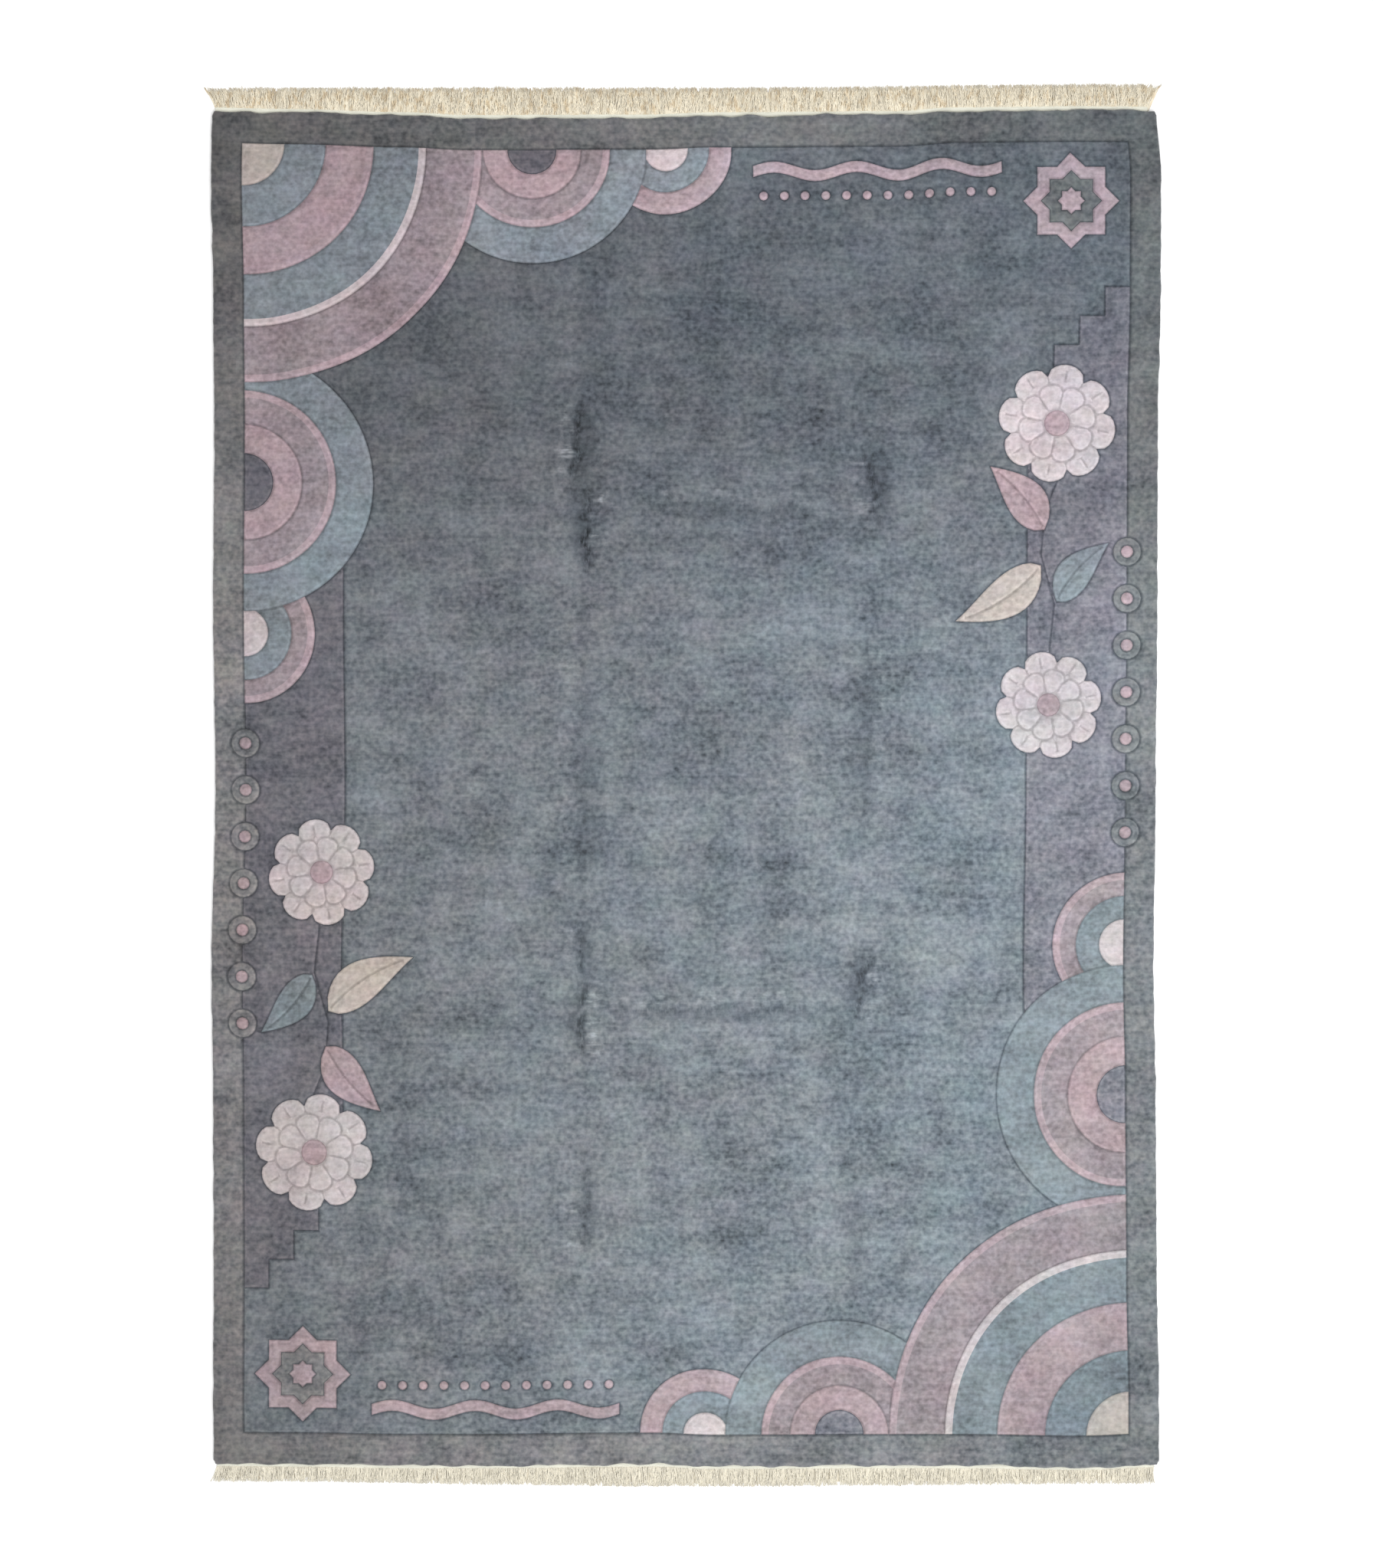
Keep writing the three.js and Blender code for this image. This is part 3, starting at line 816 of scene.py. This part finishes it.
def web_mesh(end):
    """The flat-woven web end: a ribbed band beside the pile."""
    profile = np.array([(-0.4, 0.2), (-0.4, 2.3), (0.7, 3.0), (end.web * 0.5, 3.1), (end.web - 0.9, 2.9),
                        (end.web, 2.1), (end.web, 0.4), (end.web * 0.5, 0.0)])
    x = np.arange(end.start, end.stop, WEB_RIB)
    ribs = 0.22 * (-1.0) ** np.arange(len(x))
    loops = []
    for out, height in profile:
        y = end.way * (PILE_LENGTH / 2 + WEB_GAP + out + 0.25 * np.sin(x / 19 + out))
        loops.append(np.stack([x, y, height + ribs * (height > 1)], axis=1))
    points = np.stack(loops, axis=1).reshape(-1, 3)
    points[:, :2] = bent(points[:, :2])
    return points, tube_faces(1, len(x), len(profile), end.way)


def splay_at(end, x):
    """How far the locks lean out at some places along a web end, in degrees."""
    left = end.splay_left * np.exp(-(x - end.start) / SPLAY_REACH)
    return left + end.splay_right * np.exp(-(end.stop - x) / SPLAY_REACH)


def shade_underlay_mesh(end, settings):
    """The lowest layer of strands, matted into a thin ragged strip under the rest."""
    # It lies so low that the yarn shows it in its painted shade colour, filling the gaps between the strands
    rng = np.random.default_rng(settings.seed + 5)
    x = np.arange(end.start + 1, end.stop - 1, UNDERLAY_STEP)
    root = end.way * (PILE_LENGTH / 2 + end.web - 2) * np.ones(len(x))
    reach = eased(TIP_LINE, end.column, x) - end.way * (5 + rng.normal(0, 2.2, len(x)))
    tip_x = x + np.abs(reach - root) * np.tan(np.radians(splay_at(end, x))) + rng.normal(0, 0.5, len(x))
    loops = [(x, root, 0.1), (x, root, 1.3), (tip_x, reach, 0.9), (tip_x, reach, 0.1)]
    sides = [np.stack([across, along, np.full(len(x), height)], axis=1) for across, along, height in loops]
    return np.stack(sides, axis=1).reshape(-1, 3), tube_faces(1, len(x), len(sides), end.way)


def strand_lines(end, settings):
    """Middle lines of all the strands of a fringe, and their thickness along them, in millimetres."""
    rng = np.random.default_rng(settings.seed + end.way)
    width = end.stop - end.start
    bunches = round(width / (settings.bunch / MM))
    count = bunches * settings.strands
    bunch = np.repeat(np.arange(bunches), settings.strands)
    pitch = width / bunches
    centre = end.start + (bunch + 0.5 + rng.uniform(-BUNCH_SHIFT, BUNCH_SHIFT, bunches)[bunch]) * pitch
    root_x = end.start + (np.arange(count) + rng.uniform(0, 1, count)) * width / count
    root = bent(np.stack([root_x, np.full(count, end.way * (PILE_LENGTH / 2 + end.web - 2.5))], axis=1))
    tip_y = eased(TIP_LINE, end.column, root_x)
    steps = STRAND_STEPS
    run = (tip_y - root[:, 1]) * rng.normal(1, 0.02, count)
    run += end.way * rng.normal(0, settings.stray / MM, count) * STRAND_STRAY
    run += end.way * rng.normal(0, settings.stray / MM, bunches)[bunch] * BUNCH_STRAY
    lean = splay_at(end, root_x) + rng.normal(0, end.lean / 2, bunches)[bunch]
    lean += rng.normal(0, end.lean, count)
    tip_x = root[:, 0] + np.abs(run) * np.tan(np.radians(np.clip(lean, -MOST_LEAN, MOST_LEAN)))
    sway = np.clip(tip_x, end.start - MOST_SPREAD, end.stop + MOST_SPREAD) - root[:, 0]
    gather = rng.uniform(0.0, 0.5, bunches)[bunch] * (centre - root_x)
    phase, turns = rng.uniform(0, TAU, (2, count, 1))
    wave = end.curl * rng.uniform(0.2, 1, (count, 1)) * np.sin(steps * (4 + turns) + phase) * steps
    x = root[:, :1] + sway[:, None] * steps**1.2 + gather[:, None] * np.sin(steps * 2.2) + wave
    y = root[:, 1:] + run[:, None] * steps
    layer = rng.uniform(0, 1, (count, 1))
    height, rise = (low + more * layer for low, more in (LAYER_HEIGHT, LAYER_RISE))
    arch = np.sin(math.pi * np.clip(steps * 1.05, 0, 1)) ** 0.7
    z = height + rise * arch + rng.normal(0, 0.15, (count, len(steps)))
    thick = settings.strand / MM / 2 * rng.uniform(0.75, 1.2, (count, 1)) * (1 - 0.5 * steps**3)
    thick = thick * (1 + 0.8 * (layer < 0.3))
    return np.stack([x, y, np.maximum(z, thick + 0.1)], axis=2), thick


def strand_mesh(end, settings):
    """All the strands of a fringe as three-sided tubes."""
    lines, thick = strand_lines(end, settings)
    across, up = headings(math.pi / 2 + TAU * np.arange(3) / 3).T
    around = np.stack([across, np.zeros(3), up], axis=1)
    points = lines[:, :, None, :] + thick[:, :, None, None] * around
    return points.reshape(-1, 3), tube_faces(*thick.shape, 3, end.way)


def fringe_piece(end, settings, cottons):
    """One web end with its fringe."""
    parts = [web_mesh(end), shade_underlay_mesh(end, settings), strand_mesh(end, settings)]
    points, faces, kinds = np.zeros((0, 3)), [], []
    for kind, (part, part_faces) in zip((0, 1, 1), parts):
        faces += [[k + len(points) for k in face] for face in part_faces]
        kinds += [kind] * len(part_faces)
        points = np.concatenate([points, part])
    points[:, :2] += frame_shift()
    materials = [web_material(cottons), yarn_material(cottons)]
    return made_piece(f"{end.name}_yarn", points * MM, faces, materials, kinds)


# Materials


def summing(operation, turned=False):
    """An operator that adds a Math node to a fibre's recipe. A turned one has the fibre second."""
    def added(fibre, other):
        pair = (other, fibre) if turned else (fibre, other)
        return fibre.recipe.add("ShaderNodeMath", {"operation": operation}, dict(enumerate(pair)))
    return added


class Fibre:
    """A shader socket that takes part in sums."""

    def __init__(self, recipe, socket):
        self.recipe = recipe
        self.socket = socket

    __add__ = __radd__ = summing("ADD")
    __mul__ = __rmul__ = summing("MULTIPLY")
    __sub__ = summing("SUBTRACT")
    __rsub__ = summing("SUBTRACT", turned=True)


class Recipe:
    """A material and the one way in which its nodes are added."""

    def __init__(self, name, **constants):
        self.material = bpy.data.materials.new(name)
        self.material.use_nodes = True
        self.tree = self.material.node_tree
        self.shader = self.tree.nodes["Principled BSDF"]
        for socket, value in constants.items():
            self.shader.inputs[socket.replace("_", " ")].default_value = value
        self.place = self.add("ShaderNodeTexCoord", output="Object")

    def add(self, kind, settings=None, inputs=None, output=0):
        """A new node's output. Its settings are set first, and then its sockets."""
        node = self.tree.nodes.new(kind)
        for name, value in (settings or {}).items():
            setattr(node, name, value)
        for name, value in (inputs or {}).items():
            self.plug(node.inputs[name], value)
        return Fibre(self, node.outputs[output])

    def plug(self, socket, value):
        if isinstance(value, Fibre):
            self.tree.links.new(value.socket, socket)
        else:
            socket.default_value = (*value, 1) if socket.type == "RGBA" else value

    def vector(self, operation, *vectors):
        """Vector Math on vectors or colours."""
        return self.add("ShaderNodeVectorMath", {"operation": operation}, dict(enumerate(vectors)))

    def stretched(self, across, along, shift=0):
        """The place in steps of the given millimetres."""
        steps = (1 / (across * MM), 1 / (along * MM), 1 / (across * MM))
        return self.vector("ADD", self.vector("MULTIPLY", self.place, steps), (shift, shift, shift))

    def cloud(self, across, along, detail=2, shift=0, rough=0.5):
        """Smooth noise about 0, with blots of the given millimetres."""
        place = self.stretched(across, along, shift=shift)
        inputs = {"Vector": place, "Scale": 1, "Detail": detail, "Roughness": rough}
        return self.add("ShaderNodeTexNoise", None, inputs) - 0.5

    def knots(self, across, along):
        """A random number about 0 for each knot."""
        cell = self.vector("FLOOR", self.stretched(across, along))
        flat = self.vector("MULTIPLY", cell, (1, 1, 0))
        return self.add("ShaderNodeTexWhiteNoise", None, {"Vector": flat}, "Value") - 0.5

    def patterned(self, patterns):
        """The sum of some patterns, about 0."""
        return sum(self.cloud(*pattern[:-1]) * pattern.weight for pattern in patterns)

    def smooth(self, value, low, high, bottom=0, top=1):
        """A value eased from bottom to top as it goes from low to high."""
        inputs = {"Value": value, "From Min": low, "From Max": high, "To Min": bottom, "To Max": top}
        return self.add("ShaderNodeMapRange", {"interpolation_type": "SMOOTHSTEP"}, inputs)

    def number(self, label):
        return self.add("ShaderNodeAttribute", {"attribute_name": label}, output="Fac")

    def mixed(self, share, first, second, blend="MIX"):
        """Two colours mixed. A share past 0 or 1 goes on beyond them."""
        settings = {"data_type": "RGBA", "blend_type": blend, "clamp_factor": False}
        return self.add("ShaderNodeMix", settings, {0: share, 6: first, 7: second}, 2)

    def scaled(self, colour, share):
        return self.add("ShaderNodeVectorMath", {"operation": "SCALE"}, {0: colour, "Scale": share})

    def part(self, axis, of=None):
        """One part of a vector, or of the place in metres."""
        return self.add("ShaderNodeSeparateXYZ", None, {0: of or self.place}, axis)

    def bump(self, height, depth, strength=1.0):
        return self.add("ShaderNodeBump", None, {"Height": height, "Distance": depth, "Strength": strength})

    def finish(self, colour, normal):
        self.plug(self.shader.inputs["Base Color"], colour)
        self.plug(self.shader.inputs["Normal"], normal)
        return self.material


# The cut ends of the pile let light sink in, so wool shows only this share of its dye's light: even painted
# shade over the whole pile, also set to offset the strength of the sky and the lamp
PAINTED_SHADE_SHARE = 0.68

# Patterns in the wool: how far their blots reach across and along, in millimetres, the detail, shift and
# roughness of their noise, and their weight
Pattern = collections.namedtuple("Pattern", "across along detail shift rough weight")
HEATHER = Pattern(8.3, 8, 1, 0, 0.4, 1.42)
TONES = [
    Pattern(56, 5, 1, 3, 0.5, 0.42), Pattern(160, 26, 2, 41, 0.7, 0.5), Pattern(90, 480, 2, 61, 0.6, 0.6),
    Pattern(210, 180, 4, 11, 0.86, 1.55),
]
HUES = [Pattern(110, 90, 4, 23, 0.85, 2.9), Pattern(420, 380, 2, 27, 0.5, 1.4)]
MOSSES = [Pattern(80, 66, 3, 31, 0.8, 4.6)]
KNOTS, BANDS = 0.05, 0.1

# Painted shade of a carved line: how dark it is on the wool behind it, and how much more on the wool in
# front, in metres how wide, and how light the painted highlight on the lip over it
GROUND_LINE, MOTIF_LINE = (0.36, 0.2), (0.27, -0.11)
LINE_WIDE, LINE_NARROW, LINE_SHIFT = 0.0042, 0.0014, 0.0022
LIP = 0.14

# How much painted shade darkens the partings and hollows of the creases, and how much painted light
# brightens their tufts and slopes
PARTING, HOLLOW, TUFTS, SLOPE = 0.9, 0.24, 1.2, 0.18

# Casts of the wool, as shares of red, green and blue
COOL, WARM = (0.943, 1.006, 1.032), (1.075, 0.991, 0.96)
VIOLET, MOSS = (1.013, 0.976, 1.016), (0.989, 1.015, 0.981)
# DEEP tints the darker tones of the ground wools, painted shade among them, towards blue, and PALE the
# lighter ones
DEEP, PALE = (0.935, 1.0, 1.075), (1.012, 0.998, 0.98)

# How brightly a wool shows towards the head, foot, left, right and very top of the rug, in painted light
# and shade, how much darker its left corners are than its right ones, in painted shade, how much of its cast
# goes from warm at the left to cool at the right, and how strongly its cast changes from place to place
Drift = collections.namedtuple("Drift", "head foot left right top corner lean mottle")
DRIFTS = {
    "field": Drift(0.94, 1.02, 0.88, 1.31, 0.75, 0, 0.58, 0.65),
    "border": Drift(0.96, 0.98, 1.02, 1.1, 0.76, 0.12, 0.75, 0.7),
    "plum": Drift(0.99, 0.97, 0.71, 1.27, 0.82, 0, 0.5, 0.6),
}
MOTIF_DRIFT = Drift(1.11, 0.99, 0.88, 1.06, 1, 0, 0.3, 0.6)


def painted_light_drift(recipe, drift):
    """Painted light and shade: slow changes of brightness over the rug, and darker towards its corners."""
    x, y = recipe.part("X"), recipe.part("Y")
    corners = x * x * y * y * (0.25 - x * drift.corner)
    share = recipe.smooth(y, 1.0, -0.1, drift.head, drift.foot) * (1 - corners)
    share = share * recipe.smooth(x - y * 0.22, -0.85, 0.85, drift.left, drift.right)
    return share * recipe.smooth(y, 0.8, 0.1, drift.top, 1)


def line_shading(recipe, strength):
    """Shade in the carved lines, and light on the lip of the motif in front."""
    gap, front = recipe.number("line_gap"), recipe.number("line_front")
    behind, before = strength
    # Painted shade in the line, and a painted highlight on the lip beside it
    dark = recipe.smooth(gap + front * LINE_SHIFT, LINE_WIDE, LINE_NARROW) * (behind + front * before)
    lip = recipe.smooth(gap, 0.001, 0.0026) * recipe.smooth(gap, 0.0064, 0.0036)
    return (1 - dark) * (1 + lip * recipe.smooth(front, 0.5, 0.9) * LIP)


def crease_shading(recipe):
    """Shade in the partings and hollows of the creases, and light on their tufts and slopes."""
    strokes = recipe.smooth(recipe.cloud(6, 17, shift=17, rough=0.7), -0.1, 0.12, 1, 0.35)
    tufts = recipe.smooth(recipe.cloud(34, 8, shift=19), -0.05, 0.12)
    # Painted shade in the open parting, and painted light on the tufts turned up beside it
    tone = 1 - recipe.number("parting") * strokes * PARTING
    tone = tone * (1 + recipe.number("ruffle") * tufts * TUFTS)
    return tone * (1 - recipe.number("hollow") * HOLLOW) * (1 + recipe.number("slope") * SLOPE)


def wool_material(name, colour):
    """Cut wool pile of one dye, with the heather of its yarn, streaks of its rows and its carved lines."""
    recipe = Recipe(f"wool_{name}", Roughness=0.92, Specular_IOR_Level=0.2, Sheen_Weight=0.25,
                    Sheen_Roughness=0.5)
    pile = bpy.context.scene.rug_pile
    knots = recipe.knots(pile.knot_across / MM, pile.knot_along / MM)
    heather = recipe.cloud(*HEATHER[:-1])
    bands = recipe.smooth(recipe.cloud(380, 80, shift=51), -0.05, 0.05, -0.5, 0.5)
    contrast = min(1.0, (0.2 / colour[1]) ** 0.8)
    # The tone carries the painted shade of the lines and creases and the painted light of their lips, tufts
    # and slopes
    tone = heather * HEATHER.weight + knots * KNOTS + bands * BANDS + recipe.patterned(TONES)
    tone = (1 + tone * contrast) * line_shading(recipe, GROUND_LINE if name in DRIFTS else MOTIF_LINE)
    tone = tone * crease_shading(recipe)
    drift = DRIFTS.get(name, MOTIF_DRIFT)
    leftward = recipe.smooth(recipe.part("X"), 0.7, -0.8)
    footward = 1 if name == "border" else recipe.smooth(recipe.part("Y"), 1.0, -0.5)
    hue = recipe.patterned(HUES) * drift.mottle + leftward * drift.lean + (1 - drift.lean) / 2
    moss = recipe.patterned(MOSSES) * drift.mottle + footward * 0.45 + 0.275
    casts = [(hue, COOL, WARM), (moss, VIOLET, MOSS)]
    # Darker tones, painted shade among them, turn blue and lighter ones warm
    if name in DRIFTS:
        casts.append((recipe.smooth(tone, 0.2, 1.5), DEEP, PALE))
    surface = colour
    for share, one, other in casts:
        surface = recipe.mixed(1, surface, recipe.mixed(share, one, other), "MULTIPLY")
    # Painted light and shade drifting over the rug, and the even painted shade of the deep pile
    surface = recipe.scaled(surface, tone * painted_light_drift(recipe, drift) * PAINTED_SHADE_SHARE)
    return recipe.finish(surface, recipe.bump(heather + knots * 0.2, 0.003, 0.8))


def back_material(name, colour):
    """The back of the rug: a grid of knots of one dye, held by fine wefts."""
    recipe = Recipe(f"back_{name}", Roughness=0.9, Specular_IOR_Level=0.2)
    pile = bpy.context.scene.rug_pile
    knot = (pile.knot_across / MM, pile.knot_along / MM)
    place = recipe.stretched(*knot)
    waves = []
    for axis in ("X", "Y"):
        turn = recipe.add("ShaderNodeMath", {"operation": "SINE"}, {0: recipe.part(axis, place) * math.pi})
        waves.append(recipe.add("ShaderNodeMath", {"operation": "ABSOLUTE"}, {0: turn}))
    bead = waves[0] * waves[1]
    # Painted shade between the knots: darker where the bead is low
    tone = 0.62 + recipe.smooth(bead, 0.05, 0.7) * 0.34 + recipe.knots(*knot) * 0.16
    tone = tone + recipe.cloud(60, 5, shift=5) * 0.3
    weft = recipe.smooth(waves[1], 0.0, 0.3)
    cotton = bpy.context.scene.rug_dyes.web
    surface = recipe.mixed(weft * 0.65 + 0.35, cotton, colour)
    height = bead + recipe.cloud(1.2, 1.2, shift=2) * 0.4
    return recipe.finish(recipe.scaled(surface, tone), recipe.bump(height, 0.0012, 0.9))


def web_material(cottons):
    """Flat-woven cotton: fine wefts packed over the warps."""
    recipe = Recipe("cotton_web", Roughness=0.9, Specular_IOR_Level=0.2, Sheen_Weight=0.15)
    wefts = recipe.cloud(14, 0.8)
    tone = 0.84 + wefts * 0.3 + recipe.cloud(40, 20, shift=4) * 0.25
    # Painted light: brighter towards the head, where the pile shades the web from the lamp
    tone = tone * recipe.smooth(recipe.part("Y"), -1.2, 1.2, 0.96, 1.06)
    return recipe.finish(recipe.scaled(cottons.web, tone), recipe.bump(wefts, 0.0006, 0.8))


def yarn_material(cottons):
    """Loose cotton yarn: pale on top, ochre painted shade deep between the strands, yellowed at the head."""
    recipe = Recipe("cotton_yarn", Roughness=0.88, Specular_IOR_Level=0.2, Sheen_Weight=0.2)
    strands = recipe.cloud(1.4, 26)
    bunches = recipe.cloud(9, 30, shift=6)
    # Painted shade: the lower the yarn lies, the more of the ochre shade colour it shows
    depth = recipe.smooth(recipe.part("Z") + bunches * 0.002, -0.0002, 0.0015)
    facing = recipe.part("Z", recipe.add("ShaderNodeNewGeometry", output="Normal"))
    # Faces turned to the floor are kept out of the painted shade
    depth = depth + recipe.smooth(facing, -0.4, -0.9, 0, 0.75)
    headward = recipe.smooth(recipe.part("Y") - recipe.part("X") * 0.4, -1.0, 1.6)
    stains = recipe.smooth(recipe.cloud(7, 16, shift=13), 0.0, 0.16, 0.18, 0.7)
    depth = depth * (1 - stains * headward)
    surface = recipe.mixed(depth, cottons.shade_and_stain, cottons.warp)
    tone = 1 + strands * 0.36 + bunches * 0.4
    # Painted light and shade: brighter towards the head and darker towards the foot
    tone = tone * recipe.smooth(recipe.part("Y"), -1.2, 1.2, 0.9, 1.05)
    twist = recipe.cloud(0.7, 1.6, detail=1, shift=9)
    return recipe.finish(recipe.scaled(surface, tone), recipe.bump(twist, 0.0004, 0.6))


def floor_material(colour):
    """Pale matt floor with the faintest unevenness."""
    recipe = Recipe("floor_paper", Roughness=1.0, Specular_IOR_Level=0.0)
    tone = 1 + recipe.cloud(300, 300) * 0.01
    return recipe.finish(recipe.scaled(colour, tone), recipe.bump(tone, 0.0001, 0.1))


# Operators


class RUG_OT_pile(bpy.types.Operator):
    """Build the knotted pile with its carved lines, folds and back"""

    bl_idname = "rug.pile"
    bl_label = "Knotted Pile"

    def execute(self, context):
        dyes = context.scene.rug_dyes
        names = ("field", "border", "sky", "mauve", "rose", "pink", "blush", "cream", "plum")
        piece = pile_piece(context.scene.rug_pile, {name: getattr(dyes, name) for name in names})
        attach(piece, "root")
        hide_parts("pile_rug")
        return {"FINISHED"}


class RUG_OT_fringes(bpy.types.Operator):
    """Build the two web ends with their fringes"""

    bl_idname = "rug.fringes"
    bl_label = "Web Ends and Fringes"

    def execute(self, context):
        for end in ENDS:
            piece = fringe_piece(end, context.scene.rug_fringe, context.scene.rug_dyes)
            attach(piece, "root")
            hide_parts(end.name)
        bpy.data.objects["knotted_pile"]
        return {"FINISHED"}


class RUG_OT_stage(bpy.types.Operator):
    """Set the pale floor, the soft light and the camera straight above the rug"""

    bl_idname = "rug.stage"
    bl_label = "Floor, Light and Camera"

    def execute(self, context):
        stage = context.scene.rug_stage
        corners = rectangle(-FLOOR_HALF, -FLOOR_HALF, FLOOR_HALF, FLOOR_HALF)
        points = np.column_stack([corners, np.full(4, FLOOR_HEIGHT)])
        floor = made_piece("floor", points, [(0, 1, 2, 3)], [floor_material(stage.floor)], [0])
        self.light(context, stage)
        self.aim(context, stage)
        return {"FINISHED"}

    def light(self, context, stage):
        world = bpy.data.worlds.new("even_sky")
        world.use_nodes = True
        light = world.node_tree.nodes["Background"].inputs
        light["Color"].default_value = (1, 1, 1, 1)
        light["Strength"].default_value = stage.sky
        context.scene.world = world
        lamp = bpy.data.lights.new("soft_lamp", "AREA")
        lamp.energy = stage.lamp
        lamp.shape = "DISK"
        lamp.size = LAMP_SIZE
        holder = placed("soft_lamp", lamp, LAMP_PLACE)
        holder.rotation_euler = holder.location.to_track_quat("Z", "Y").to_euler()
        context.scene.view_settings.view_transform = "Standard"

    def aim(self, context, stage):
        low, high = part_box("pile_rug")
        middle = (low + high) / 2
        camera = bpy.data.cameras.new("overhead_camera")
        camera.lens = stage.lens
        tall = PHOTO_HEIGHT * PIXEL_MM * MM
        away = tall / 2 * camera.lens / (camera.sensor_width / 2)
        x = middle.x + PHOTO_MIDDLE[0] * PIXEL_MM * MM
        y = middle.y + PHOTO_MIDDLE[1] * PIXEL_MM * MM
        context.scene.camera = placed("overhead_camera", camera, (x, y, THICKNESS * MM + away))


class RUG_PT_panel(bpy.types.Panel):
    """The rug's settings and the buttons that build it"""

    bl_idname = "RUG_PT_panel"
    bl_label = "Knotted Wool Rug"
    bl_space_type = "VIEW_3D"
    bl_region_type = "UI"
    bl_category = "Rug"

    def draw(self, context):
        for group, operator in (
            ("rug_pile", RUG_OT_pile), ("rug_fringe", RUG_OT_fringes), ("rug_stage", RUG_OT_stage),
        ):
            box = self.layout.box()
            settings = getattr(context.scene, group)
            for name in type(settings).__annotations__:
                box.prop(settings, name)
            box.operator(operator.bl_idname)
        dyes = self.layout.box()
        for name in RugDyes.__annotations__:
            dyes.prop(context.scene.rug_dyes, name)


GROUPS = {"rug_dyes": RugDyes, "rug_pile": RugPile, "rug_fringe": RugFringe, "rug_stage": RugStage}
CLASSES = (*GROUPS.values(), RUG_OT_pile, RUG_OT_fringes, RUG_OT_stage, RUG_PT_panel)


def register():
    for made in CLASSES:
        bpy.utils.register_class(made)
    for name, group in GROUPS.items():
        setattr(bpy.types.Scene, name, PointerProperty(type=group))


def unregister():
    for name in GROUPS:
        delattr(bpy.types.Scene, name)
    for made in reversed(CLASSES):
        bpy.utils.unregister_class(made)


def main():
    register()
    bpy.ops.rug.stage()
    bpy.ops.rug.pile()
    bpy.ops.rug.fringes()


if __name__ == "__main__":
    main()
